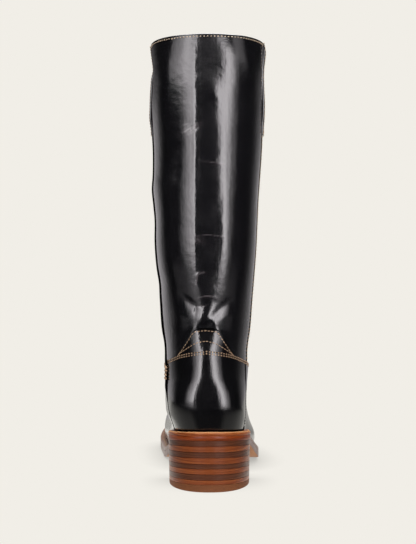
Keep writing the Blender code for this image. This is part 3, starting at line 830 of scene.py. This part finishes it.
def addPiping(side):
    height = np.linspace(sides["pipingFoot"], sides["strapFoot"] + sides["pipingTuck"], 150)
    middle = seamU(side, height)
    turn = np.linspace(0, np.pi, 11)
    u = middle[:, None] - sides["pipingWidth"][side] / 2 / girth * np.cos(turn)[None, :]
    v = levelAt(middle, height)[:, None] + np.zeros_like(u)
    over = sides["pipingLift"] + sides["pipingRise"][side] * np.sin(turn)[None, :]
    piece = layBead("piping_" + side, u, v, -sides["pipingSink"], over)
    return standIn(piece, "side_seam_" + side)


def strapGrid(side):
    row = crowded(60, 0.016)
    height = sides["strapFoot"] + (sides["strapTop"] - sides["strapFoot"]) * row
    middle = seamU(side, height, sides["strapAhead"][side])
    u = middle[:, None] + sides["strapHalf"] / 2 * (crowded(18, 0.06) * 2 - 1)[None, :]
    v = levelAt(middle, height)[:, None] + np.zeros_like(u)
    return u, v, smooth(height, strapLift["height"], strapLift[side])[:, None]


def addStrap(side):
    u, v, lift = strapGrid(side)
    piece = leatherPanel("strap_" + side, u, v, [calf, pipingCalfAndShade], sides["strapRise"], sides["strapEdge"],
                         allEdges, lift, sides["strapInkAndShade"][side])
    return standIn(piece, "pull_strap_" + side)


def addSeamWelt(side):  # the piping runs out along the seam of counter and vamp
    rows, widths, rises = sides["weltBead"][side]
    row = np.linspace(rows[0], rows[-1], 60)
    half = np.interp(row, rows, widths) / girth
    middle = counterEdge(row) + panels["vampGap"] / 2 + half / 2
    turn = np.linspace(0, np.pi, 9)
    u = (middle[:, None] - half[:, None] * np.cos(turn)[None, :]) * (-1 if side == "inner" else 1)
    v = seamLevel(u, panels["seamLift"]) * row[:, None]
    bead = np.interp(row, rows, rises)[:, None] * np.sin(turn)[None, :]
    over = panels["vampRise"] - sides["weltSink"] + bead
    piece = layBead("seam_welt_" + side, u, v, sides["weltUnder"], over)
    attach(piece, "root")


for side in ("inner", "outer"):
    addPiping(side)
    addSeamWelt(side)
    addStrap(side)
print("side seams made")


# Sole: layers as loops of the outline, each a little inset, from underneath round the edge to the top

sole = {"stations": 150, "bevel": 0.45, "weltRound": 1.8, "footbedRise": 3.0}


def soleLoop(inset, height):
    n = sole["stations"]
    along = inset + (soleLength - 2 * inset) * (1 - np.cos(np.pi * np.arange(n + 1) / n)) / 2
    x = np.concatenate([axis(along) + soleHalf(along, "outer", inset),
                        (axis(along) - soleHalf(along, "inner", inset))[-2:0:-1]])
    y = np.concatenate([along, along[-2:0:-1]])
    return np.stack([x, y, height(y, x)], axis=-1)


def capFaces(start):  # rungs across a loop, from its outer to its inner side
    n = sole["stations"]
    outer = [start + i for i in range(n + 1)]
    inner = [start] + [start + 2 * n - i for i in range(1, n)] + [start + n]
    return [tuple(dict.fromkeys((outer[i], outer[i + 1], inner[i + 1], inner[i]))) for i in range(n)]


def addLayer(name, profile, finishes, capFinish=0):
    loops = np.array([soleLoop(inset, height) for inset, height in profile])
    rows, columns = loops.shape[:2]
    faces = gridFaces(rows, columns, closedColumns=True)
    sideCount = len(faces)
    faces = faces + capFaces(0) + capFaces((rows - 1) * columns)
    faceFinish = [0] * sideCount + [capFinish] * (len(faces) - sideCount)
    return addPiece(name, loops, faces, finishes, faceFinish, sharp=50)


def raised(surface, up):
    return lambda along, x: surface(along, x) + up


bevel = sole["bevel"]
outsoleProfile = [
    (bevel * 1.6, tread),
    (bevel * 0.5, raised(tread, bevel * 0.25)),
    (0.0, raised(tread, bevel)),
    (0.0, raised(outsoleTop, -bevel * 0.6)),
    (bevel * 0.4, outsoleTop),
]
standIn(addLayer("outsole_layer", outsoleProfile, [soleEdge, treadLeather], 1), "outsole")

footbedInset = ledge + wall + 0.2
footbedProfile = [
    (footbedInset, raised(outsoleTop, 0.1)),
    (footbedInset, raised(weltTop, sole["footbedRise"] - 1.0)),
    (footbedInset + 0.5, raised(weltTop, sole["footbedRise"] - 0.3)),
    (footbedInset + 1.6, raised(weltTop, sole["footbedRise"])),
]
standIn(addLayer("footbed", footbedProfile, [footbedLeather]), "insole")


def addWelt():
    inside = ledge + wall
    r = sole["weltRound"]
    profile = [
        (0.35, raised(outsoleTop, 0.02)),
        (0.0, raised(outsoleTop, 0.4)),
        (0.0, raised(weltTop, -r)),
        (r * 0.13, raised(weltTop, -r * 0.5)),
        (r * 0.5, raised(weltTop, -r * 0.13)),
        (r, weltTop),
        (inside, weltTop),
        (inside, raised(outsoleTop, 0.02)),
    ]
    loops = np.array([soleLoop(inset, height) for inset, height in profile])
    rows, columns = loops.shape[:2]
    faces = gridFaces(rows, columns, closedRows=True, closedColumns=True)
    faceRow = np.repeat(np.arange(rows), columns)
    seat = (loops[:, :, 1] < breast).ravel()
    paleRimAndHighlight = (seat & (faceRow >= 3) & (faceRow <= 4)).astype(int)  # the round of the edge at the heel: natural pale leather, made paler as a painted highlight
    piece = addPiece("welt_band", loops, faces, [weltEdge, weltRimAndHighlight], paleRimAndHighlight, sharp=50)
    return standIn(piece, "welt")


addWelt()
print("sole made")


# Heel: stacked lifts, dark and light by turns, on a wear piece that lies flat on the floor

heel = {"taper": 0.9, "undercut": 4.0, "hollow": 2.5, "wearBack": 6.8, "wearSlope": 0.066, "groove": 0.16,
        "breastGap": 0.3, "seatGap": 0.4, "liftGap": 0.01, "sidePoints": 46, "frontPoints": 18,
        "lifts": (("dark", 4.9), ("light", 5.2), ("dark", 5.2), ("light", 5.6),
                  ("dark", 4.4), ("light", 4.8), ("dark", 5.2), ("light", 4.0))}


def heelLoop(heightAtBack, slope, inset):
    top = tread(0.0)

    def lean(along):
        return np.clip((heightAtBack - slope * along) / top, 0, 1)

    end = breast - heel["undercut"] * (1 - lean(breast)) - heel["breastGap"] - inset
    along = inset + (end - inset) * np.linspace(0, 1, heel["sidePoints"] + 1) ** 2.2
    full = last["seatHalfWidth"] - heel["seatGap"] - heel["taper"] * (1 - lean(along)) - inset
    half = full * roundEnd((along - inset) / last["heelRound"])
    across = np.linspace(1, -1, heel["frontPoints"] + 1)[1:-1]
    front = end - heel["hollow"] * (1 - across**2)
    x = np.concatenate([half, half[-1] * across, -half[:0:-1]])
    y = np.concatenate([along, front, along[:0:-1]])
    return np.stack([x, y, heightAtBack - slope * y], axis=-1)


def addLift(name, node, low, high, finish):
    g = heel["groove"]
    rows = [(*low, g * 2), (low[0] + g, low[1], 0), (high[0] - g, high[1], 0), (*high, g * 2)]
    loops = np.array([heelLoop(*row) for row in rows])
    count = loops.shape[1]
    faces = gridFaces(*loops.shape[:2], closedColumns=True)
    faces += [tuple(range(count)), tuple(range(3 * count, 4 * count))]
    return standIn(addPiece(name, loops, faces, [finish], sharp=40), node)


def addHeel():
    top = tread(0.0)
    back, wearSlope, apart = heel["wearBack"], heel["wearSlope"], heel["liftGap"]
    rise = top - back
    finishes = {"dark": darkLift, "light": lightLift}

    def slope(height):
        return wearSlope + (seatSlope - wearSlope) * (height - back) / rise

    for number, (shade, thick) in enumerate(heel["lifts"], start=1):
        low = top - thick
        addLift(f"lift_{number}", f"heel_lift_{number}", (low + apart, slope(low)), (top - apart, slope(top)),
                finishes[shade])
        top = low
    addLift("wear_lift", "top_lift", (0.0, 0.0), (back - apart, wearSlope), wearRubber)


addHeel()
print("heel made")


# Stitches: one tree lays them along a row of points that carry the way out of the leather

def stitchTree():
    tree = bpy.data.node_groups.new("stitchRow", "GeometryNodeTree")
    sockets = {}
    for name, kind in (("Row", "Geometry"), ("Pitch", "Float"), ("Length", "Float"), ("Width", "Float"),
                       ("Height", "Float"), ("Slant", "Float"), ("Thread", "Material")):
        socket = tree.interface.new_socket(name, in_out="INPUT", socket_type="NodeSocket" + kind)
        sockets[name] = socket.identifier
    tree.interface.new_socket("Stitches", in_out="OUTPUT", socket_type="NodeSocketGeometry")
    given = addNode(tree, "NodeGroupInput").outputs
    curve = addNode(tree, "GeometryNodeMeshToCurve", {"Mesh": given["Row"]})
    spaced = addNode(tree, "GeometryNodeResampleCurve", {"Curve": curve, "Length": given["Pitch"]},
                     mode="LENGTH")
    outward = addNode(tree, "GeometryNodeInputNamedAttribute", {"Name": "outward"}, data_type="FLOAT_VECTOR")
    facing = addNode(tree, "FunctionNodeAxesToRotation", {
        "Primary Axis": outward, "Secondary Axis": addNode(tree, "GeometryNodeInputTangent")},
        primary_axis="Z", secondary_axis="X")
    wobble = addNode(tree, "FunctionNodeRandomValue", {2: -0.05, 3: 0.05, "Seed": 7},
                     data_type="FLOAT")
    turn = addNode(tree, "Math", {0: wobble, 1: given["Slant"]}, operation="ADD")
    slant = addNode(tree, "CombineXYZ", {"Z": turn})
    turned = addNode(tree, "FunctionNodeRotateRotation", {"Rotation": facing, "Rotate By": slant},
                     rotation_space="LOCAL")
    ball = addNode(tree, "GeometryNodeMeshUVSphere", {"Segments": 8, "Rings": 5, "Radius": 0.5})
    size = addNode(tree, "CombineXYZ", {"X": given["Length"], "Y": given["Width"], "Z": given["Height"]})
    stitch = addNode(tree, "GeometryNodeTransform", {"Geometry": ball, "Scale": size})
    laid = addNode(tree, "GeometryNodeInstanceOnPoints", {
        "Points": spaced, "Instance": stitch, "Rotation": turned})
    real = addNode(tree, "GeometryNodeRealizeInstances", {"Geometry": laid})
    soft = addNode(tree, "GeometryNodeSetShadeSmooth", {"Geometry": real})
    dyed = addNode(tree, "GeometryNodeSetMaterial", {"Geometry": soft, "Material": given["Thread"]})
    addNode(tree, "NodeGroupOutput", {"Stitches": dyed})
    return tree, sockets


stitchRow, stitchSockets = stitchTree()


# Thread, slot, then pitch, length, width and height in millimetres, and slant. The rows of collar and ankle
# and those of the outer side are coarser than real ones, so that they show
sewing = {
    "collar_stitches": (collarThread, "upper_leather", 3.2, 1.7, 1.1, 0.9, 0.1),
    "ankle_stitches": (tanThread, "overlay_leather", 2.8, 1.4, 1.3, 1.0, 0.1),
    "yoke_stitches": (tanThread, "overlay_leather", 3.1, 2.3, 0.9, 0.6, 0.1),
    "seam_stitches_inner": (tanThread, "upper_leather", 2.8, 2.2, 0.7, 0.6, 0.1),
    "seam_stitches_outer": (collarThread, "upper_leather", 3.4, 1.7, 1.4, 1.1, 0.1),
    "strap_stitches_inner": (tanThread, "strap_leather", 2.8, 2.2, 0.7, 0.6, 0.1),
    "strap_stitches_outer": (collarThread, "strap_leather", 3.2, 1.6, 1.4, 1.1, 0.1),
    "strap_bar_tacks": (tanThread, "strap_leather", 1.2, 1.4, 0.8, 0.6, 0.7),
    "seam_tack": (tanThread, "overlay_leather", 3.4, 5.6, 2.9, 2.4, 1.35),
    "vamp_stitches": (blackThread, "overlay_leather", 2.6, 1.3, 1.0, 0.6, 0.1),
    "welt_stitches": (weltThread, "welt_leather", 4.2, 3.4, 1.1, 0.7, 0.0),
}


def addStitches(name, rows):  # each row has points, ways out of the leather, and whether it closes
    thread, slotName, *sizes, slant = sewing[name]
    points, ways, edges = [], [], []
    for path, outward, closed in rows:
        start = len(points)
        points += ((path - (0, soleLength / 2, 0)) / 1000).tolist()
        ways += outward.tolist()
        edges += [(start + i, start + i + 1) for i in range(len(path) - 1)]
        if closed:
            edges.append((start + len(path) - 1, start))
    mesh = bpy.data.meshes.new(name)
    mesh.from_pydata(points, edges, [])
    mesh.attributes.new("outward", "FLOAT_VECTOR", "POINT").data.foreach_set("vector", np.ravel(ways))
    piece = bpy.data.objects.new(name, mesh)
    bpy.context.scene.collection.objects.link(piece)
    sewn = piece.modifiers.new("stitches", "NODES")
    sewn.node_group = stitchRow
    sewn[stitchSockets["Thread"]] = thread
    sewn[stitchSockets["Slant"]] = slant
    for key, size in zip(("Pitch", "Length", "Width", "Height"), sizes):
        sewn[stitchSockets[key]] = size / 1000
    graph = bpy.context.evaluated_depsgraph_get()
    done = bpy.data.meshes.new_from_object(piece.evaluated_get(graph))
    piece.modifiers.clear()
    piece.data = done
    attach(piece, "root")


def rowOn(u, v, out, closed=False):  # a stitch row on the upper, at a height over its skin
    u, v = spread(u, v)
    out = out + relief(u, skin(u, v))
    base = skin(u, v, out)
    return base, skin(u, v, out + 1.0) - base, closed


stitches = {"sunk": 0.05, "collarDrop": 2.6, "ankleRows": (0.9, -1.2), "yokeAside": 3.4,
            "seamHeights": (112.0, 324.0), "seamAhead": {"inner": 3.2, "outer": -1.2}, "strapInset": 1.1,
            "tackRow": 8, "tackRise": 2.2, "seamTack": (0.64, 0.87), "seamTackOut": 1.5,
            "vampRow": (0.03, 0.42), "vampInset": 2.4, "weltInset": 3.0}

yokeRow = table(  # half of the yoke's outer row, from its foot to the middle of its top
    "across  height",
    (23.6, 121.5),
    (19.6, 127.4),
    (15.2, 134.6),
    (10.6, 142.0),
    (6.2, 143.5),
    (0.0, 144.2),
)

yokeArc = table(  # half of the arc sewn across the yoke
    "across  height",
    (22.8, 122.6),
    (19.5, 125.2),
    (9.2, 132.2),
    (0.0, 134.9),
)


def halfRow(half, points):
    t = np.linspace(0, 1, len(half["across"]))
    s = np.linspace(0, 1, points)
    x, z = smooth(s, t, half["across"]), smooth(s, t, half["height"])
    return np.concatenate([x, -x[-2::-1]]), np.concatenate([z, z[-2::-1]])


def bootRows():  # every row of the boot under its piece's name
    turn = np.linspace(0, 1, 240, endpoint=False)
    sunk = stitches["sunk"]
    collar = levelAt(turn, bootHeight - stitches["collarDrop"])
    rows = {"collar_stitches": [rowOn(turn, collar, sunk, True)], "yoke_stitches": [], "strap_bar_tacks": []}
    rows["ankle_stitches"] = [rowOn(turn, seamLevel(turn, drop), panels["vampRise"] - sunk, True)
                              for drop in stitches["ankleRows"]]
    for half in (yokeRow, yokeArc):
        x, z = halfRow(half, 60)
        u = backU(x - stitches["yokeAside"], z)
        rows["yoke_stitches"].append(rowOn(u, levelAt(u, z), panels["yokeRise"] + sunk))
    for side in ("inner", "outer"):
        height = np.linspace(*stitches["seamHeights"], 160)
        u = seamU(side, height, stitches["seamAhead"][side])
        out = sunk if side == "inner" else sides["pipingRise"][side]
        rows["seam_stitches_" + side] = [rowOn(u, levelAt(u, height), out)]
        strapU, strapV, lift = strapGrid(side)
        reach = sides["strapHalf"] / 2 - stitches["strapInset"] / girth
        middle = strapU.mean(axis=1)
        out = sides["strapRise"] + sunk
        rows["strap_stitches_" + side] = [rowOn(middle + edge * reach, strapV[:, 0], out + lift[:, 0])
                                          for edge in (-1, 1)]
        across = middle[stitches["tackRow"]] + np.linspace(-1, 1, 12) * reach
        foot = levelAt(across, sides["strapFoot"] + stitches["tackRise"])
        rows["strap_bar_tacks"] += [rowOn(across, foot - drop / 2 / upperSpan, out) for drop in (0, 1, 2)]
    row = np.linspace(*stitches["seamTack"], 20)
    u = -(counterEdge(row) + panels["vampGap"])
    level = seamLevel(u, panels["seamLift"]) * row
    rows["seam_tack"] = [rowOn(u, level, panels["vampRise"] + stitches["seamTackOut"])]
    row = np.linspace(*stitches["vampRow"], 40)
    u = counterEdge(row) + panels["vampGap"] + stitches["vampInset"] / girth
    level = seamLevel(u, panels["seamLift"]) * row
    rows["vamp_stitches"] = [rowOn(u, level, panels["vampRise"] + sunk)]
    loop = soleLoop(stitches["weltInset"], raised(weltTop, sunk))
    ahead = loop[loop[:, 1] > breast]
    rows["welt_stitches"] = [(ahead, np.zeros_like(ahead) + (0, 0, 1), False)]
    return rows


stitchRows = bootRows()
for name in sewing:
    addStitches(name, stitchRows[name])
print("stitches sewn")


# Studio: pale floor that fades into the pale room, with a painted shadow and a painted glow that only
# reflections see, a tall softbox on each side of the camera, a pale screen behind the boot and a soft
# light overhead

studio = {"pale": "#f1eee7", "cloth": "#fffafd", "ambient": 0.01, "overheadPower": 70.0, "overheadSide": 1.6,
          "overheadPlace": (0, 0.2, 1.9), "clothColumns": 25,
          "upperBoxes": ("softbox_left_top", "softbox_right_top"),  # they light the shaft, not the counter
          "upperLit": ("upper_shell", "strap_inner", "strap_outer", "piping_inner", "piping_outer")}

# From and to in degrees from straight behind, distance, foot and top in metres, strength, softness of both
# ends, then places across the cloth with the light there
softboxes = {
    "softbox_left": (-52.0, -15.5, 1.8, -0.28, 1.1, 6.8, 0.3, (
        (0.0, 0.0), (0.2, 0.1), (0.4, 0.26), (0.65, 0.5), (0.82, 0.75), (0.92, 1.0), (1.0, 1.0))),
    "softbox_left_top": (-78.0, -18.0, 1.9, 0.5, 1.6, 3.9, 0.25, (
        (0.0, 0.0), (0.16, 0.3), (0.37, 0.6), (0.55, 1.0), (0.7, 1.0), (0.87, 0.3), (1.0, 0.0))),
    "softbox_right_top": (38.0, 84.0, 1.9, 0.55, 1.6, 1.1, 0.25, (
        (0.0, 0.0), (0.2, 1.0), (0.65, 0.7), (1.0, 0.0))),
    "softbox_right": (13.0, 54.0, 1.8, -0.33, 1.1, 6.8, 0.24, (
        (0.0, 0.35), (0.12, 0.85), (0.24, 1.0), (0.42, 0.65), (0.65, 0.2), (1.0, 0.0))),
    "softbox_middle": (-15.0, 13.0, 1.8, 0.52, 1.5, 0.3, 0.3, (
        (0.0, 0.6), (0.5, 1.0), (0.66, 1.0), (0.84, 2.4), (1.0, 5.0))),
    "softbox_low": (-84.0, 80.0, 1.8, -0.95, -0.1, 0.85, 0.2, (
        (0.0, 0.1), (0.2, 0.35), (0.3, 0.6), (0.36, 1.0), (0.41, 1.0), (0.46, 0.04), (0.56, 0.04),
        (0.6, 0.6), (0.65, 1.0), (0.7, 0.7), (0.8, 0.35), (1.0, 0.1))),
    "pale_screen": (100.0, 260.0, 2.3, -0.95, 0.95, 0.6, 0.32, (
        (0.0, 0.0), (0.05, 0.05), (0.11, 0.15), (0.2, 0.4), (0.28, 0.5), (0.5, 0.7),
        (0.72, 0.9), (0.8, 1.0), (0.89, 0.38), (0.95, 0.1), (1.0, 0.0))),
}

sheet = {  # the floor's paper: its size, its painted shadow, then the painted glow the leather mirrors
    "back": 0.62, "front": -0.46, "side": 0.56, "under": -0.0002, "rimPoints": 72,
    "shadowFrom": -0.15, "shadowFull": -0.05, "shadowReach": 0.03, "shadowDepth": 0.5,
    "nearSide": 0.24, "nearBack": 0.4, "nearFrom": 0.45, "nearTo": 0.72,
    "aheadSlant": -0.4, "aheadTo": 0.16, "ahead": 0.55,
    "besideSlant": 0.55, "besideFrom": 0.05, "besideTo": 0.3, "behind": 0.05, "beside": 0.5,
    "heelBack": -0.1, "nearest": 0.02, "glowFrom": 0.2, "glowTo": 0.7, "glow": 0.42,
    "fadeFrom": 0.3, "fadeTo": 0.96,
}


def stagePiece(name, corners, faces, finish):
    mesh = bpy.data.meshes.new(name)
    mesh.from_pydata(corners, [], faces)
    mesh.materials.append(finish)
    piece = bpy.data.objects.new(name, mesh)
    bpy.context.scene.collection.objects.link(piece)
    return piece


def addFloor():
    # Seamless paper glowing evenly pale, with a painted soft shadow where the boot stands, weaker behind the
    # heel
    made, tree, shader, where = newMaterial("pale studio paper")
    tree.nodes.remove(shader)
    middle, reach = (sheet["front"] + sheet["back"]) / 2, (sheet["back"] - sheet["front"]) / 2
    clear = addNode(tree, "AmbientOcclusion", {"Distance": sheet["shadowReach"]}, samples=16).outputs["AO"]
    apart = addNode(tree, "SeparateXYZ", {"Vector": where}).outputs
    depth = addNode(tree, "MapRange", {
        "Value": apart["Y"], "From Min": sheet["shadowFrom"], "From Max": sheet["shadowFull"],
        "To Min": 1.0, "To Max": 1 - sheet["shadowDepth"]}, **eased)
    # painted shadow: the paper's glow darkened by the occlusion, down to the depth above
    lit = addNode(tree, "MapRange", {"Value": clear, "To Min": depth})
    seen = addNode(tree, "Emission", {"Color": linear(studio["pale"]), "Strength": lit})
    # For rays other than the camera's the paper glows in painted patches close to the boot and ahead of it,
    # which the leather shows as painted reflections
    shares = addNode(tree, "Mapping", {
        "Vector": where, "Location": (0, -middle / sheet["nearBack"], 0),
        "Scale": (1 / sheet["nearSide"], 1 / sheet["nearBack"], 0)})
    far = addNode(tree, "VectorMath", {0: shares}, operation="LENGTH")
    near = addNode(tree, "MapRange", {
        "Value": far, "From Min": sheet["nearFrom"], "From Max": sheet["nearTo"],
        "To Min": 1.0, "To Max": 0.0}, **eased)
    aside = addNode(tree, "Math", {0: apart["X"]}, operation="ABSOLUTE")
    slanted = addNode(tree, "Math", {0: aside, 1: sheet["aheadSlant"], 2: apart["Y"]},
                      operation="MULTIPLY_ADD")
    ahead = addNode(tree, "MapRange", {
        "Value": slanted, "From Min": 0.0, "From Max": sheet["aheadTo"], "To Max": sheet["ahead"]}, **eased)
    outward = addNode(tree, "Math", {0: aside, 1: sheet["besideSlant"], 2: apart["Y"]},
                      operation="MULTIPLY_ADD")
    beside = addNode(tree, "MapRange", {
        "Value": outward, "From Min": sheet["besideFrom"], "From Max": sheet["besideTo"],
        "To Min": sheet["behind"], "To Max": sheet["beside"]}, **eased)
    forward = addNode(tree, "Math", {0: near, 1: ahead}, operation="MAXIMUM")
    # Painted glow to both sides of the strip straight behind the heel, seen only in reflections
    away = addNode(tree, "Math", {0: apart["Y"], 1: -1.0, 2: sheet["heelBack"]}, operation="MULTIPLY_ADD")
    behind = addNode(tree, "Math", {0: away, 1: sheet["nearest"]}, operation="MAXIMUM")
    turn = addNode(tree, "Math", {0: aside, 1: behind}, operation="DIVIDE")
    streak = addNode(tree, "MapRange", {
        "Value": turn, "From Min": sheet["glowFrom"], "From Max": sheet["glowTo"],
        "To Max": sheet["glow"]}, **eased)
    both = addNode(tree, "Math", {0: beside, 1: streak}, operation="MAXIMUM")
    rounds = addNode(tree, "Mapping", {
        "Vector": where, "Location": (0, -middle / reach, 0), "Scale": (1 / sheet["side"], 1 / reach, 0)})
    outer = addNode(tree, "VectorMath", {0: rounds}, operation="LENGTH")
    fade = addNode(tree, "MapRange", {
        "Value": outer, "From Min": sheet["fadeFrom"], "From Max": sheet["fadeTo"],
        "To Min": 1.0, "To Max": 0.0}, **eased)
    back = addNode(tree, "Math", {0: both, 1: fade}, operation="MULTIPLY")
    paintedGlowLevel = addNode(tree, "Math", {0: forward, 1: back}, operation="MAXIMUM")
    paintedReflectionGlow = addNode(tree, "Emission", {"Color": linear(studio["pale"]), "Strength": paintedGlowLevel})
    camera = addNode(tree, "LightPath").outputs["Is Camera Ray"]
    mix = addNode(tree, "MixShader", {0: camera, 1: paintedReflectionGlow, 2: seen})
    feed(tree, tree.nodes["Material Output"], {"Surface": mix})
    turns = np.linspace(0, 2 * np.pi, sheet["rimPoints"], endpoint=False)
    rim = [(sheet["side"] * math.cos(t), middle + reach * math.sin(t), sheet["under"]) for t in turns]
    stagePiece("floor", rim, [tuple(range(len(rim)))], made)


def addSoftbox(name, start, end, distance, foot, top, strength, soft, steps):
    # Diffuser cloth lit from behind: an even glow that fades at both ends, stronger or weaker across it
    made, tree, shader, _ = newMaterial(name + " cloth")
    tree.nodes.remove(shader)
    spot = addNode(tree, "UVMap", uv_map="across")
    split = addNode(tree, "SeparateXYZ", {"Vector": spot}).outputs
    ramp = addNode(tree, "ValToRGB", {"Fac": split["X"]})
    stops = ramp.color_ramp.elements
    stops.remove(stops[1])
    for number, (place, level) in enumerate(steps):
        stop = stops[0] if number == 0 else stops.new(place)
        stop.position = place
        stop.color = (level, level, level, 1)
    ends = addNode(tree, "Math", {0: split["Y"], 1: 0.5}, operation="SUBTRACT")
    away = addNode(tree, "Math", {0: ends}, operation="ABSOLUTE")
    level = addNode(tree, "MapRange", {
        "Value": away, "From Min": 0.5 - soft, "From Max": 0.5, "To Min": strength, "To Max": 0.0}, **eased)
    scaled = addNode(tree, "Math", {0: ramp, 1: level}, operation="MULTIPLY")
    glow = addNode(tree, "Emission", {"Strength": scaled, "Color": linear(studio["cloth"])})
    through = addNode(tree, "BsdfTransparent")  # one light shines through another in front of it
    both = addNode(tree, "AddShader", {0: glow, 1: through})
    feed(tree, tree.nodes["Material Output"], {"Surface": both})
    n = studio["clothColumns"]
    angles = np.radians(np.linspace(start, end, n))
    corners = [(distance * math.sin(a), -distance * math.cos(a), z) for z in (foot, top) for a in angles]
    piece = stagePiece(name, corners, [(i, i + 1, n + 1 + i, n + i) for i in range(n - 1)], made)
    layer = piece.data.uv_layers.new(name="across")
    shares = np.tile(np.linspace(0, 1, n), 2)
    at = np.array([loop.vertex_index for loop in piece.data.loops])
    layer.data.foreach_set("uv", np.stack([shares[at], at // n], axis=-1).astype(np.float32).ravel())
    piece.visible_camera = False
    return piece


def addOverhead():
    light = bpy.data.lights.new("overhead", "AREA")
    light.shape = "SQUARE"
    light.size = studio["overheadSide"]
    light.energy = studio["overheadPower"]
    lamp = bpy.data.objects.new("overhead", light)
    lamp.location = studio["overheadPlace"]
    lamp.visible_camera = False
    bpy.context.scene.collection.objects.link(lamp)


def addWorld():
    world = bpy.data.worlds.new("studio")
    bpy.context.scene.world = world
    world.use_nodes = True
    tree = world.node_tree
    tree.nodes.clear()
    room = addNode(tree, "Background", {"Color": linear(studio["pale"]), "Strength": studio["ambient"]})
    seen = addNode(tree, "Background", {"Color": linear(studio["pale"]), "Strength": 1.0})
    camera = addNode(tree, "LightPath").outputs["Is Camera Ray"]
    mix = addNode(tree, "MixShader", {0: camera, 1: room, 2: seen})
    addNode(tree, "OutputWorld", {"Surface": mix})


addFloor()
upperLit = bpy.data.collections.new("lit by the upper softboxes")
for pieceName in studio["upperLit"]:
    upperLit.objects.link(bpy.data.objects[pieceName])
for name, box in softboxes.items():
    cloth = addSoftbox(name, *box)
    if name in studio["upperBoxes"]:
        cloth.light_linking.receiver_collection = upperLit
addOverhead()
addWorld()


# Camera: level, square behind the boot, at the photograph's height and distance

view = {"place": (-0.0012, -1.136, 0.2127), "focalPixels": 1117.3, "imageHeight": 544, "horizonRow": 255}

cameraData = bpy.data.cameras.new("camera")
cameraData.sensor_width = 36.0
cameraData.lens = 36.0 * view["focalPixels"] / view["imageHeight"]
cameraData.shift_y = (view["horizonRow"] - view["imageHeight"] / 2) / view["imageHeight"]
camera = bpy.data.objects.new("camera", cameraData)
camera.location = view["place"]
camera.rotation_euler = (math.pi / 2, 0, 0)
bpy.context.scene.collection.objects.link(camera)
bpy.context.scene.camera = camera
bpy.context.scene.view_settings.view_transform = "Standard"
print("studio and camera set")
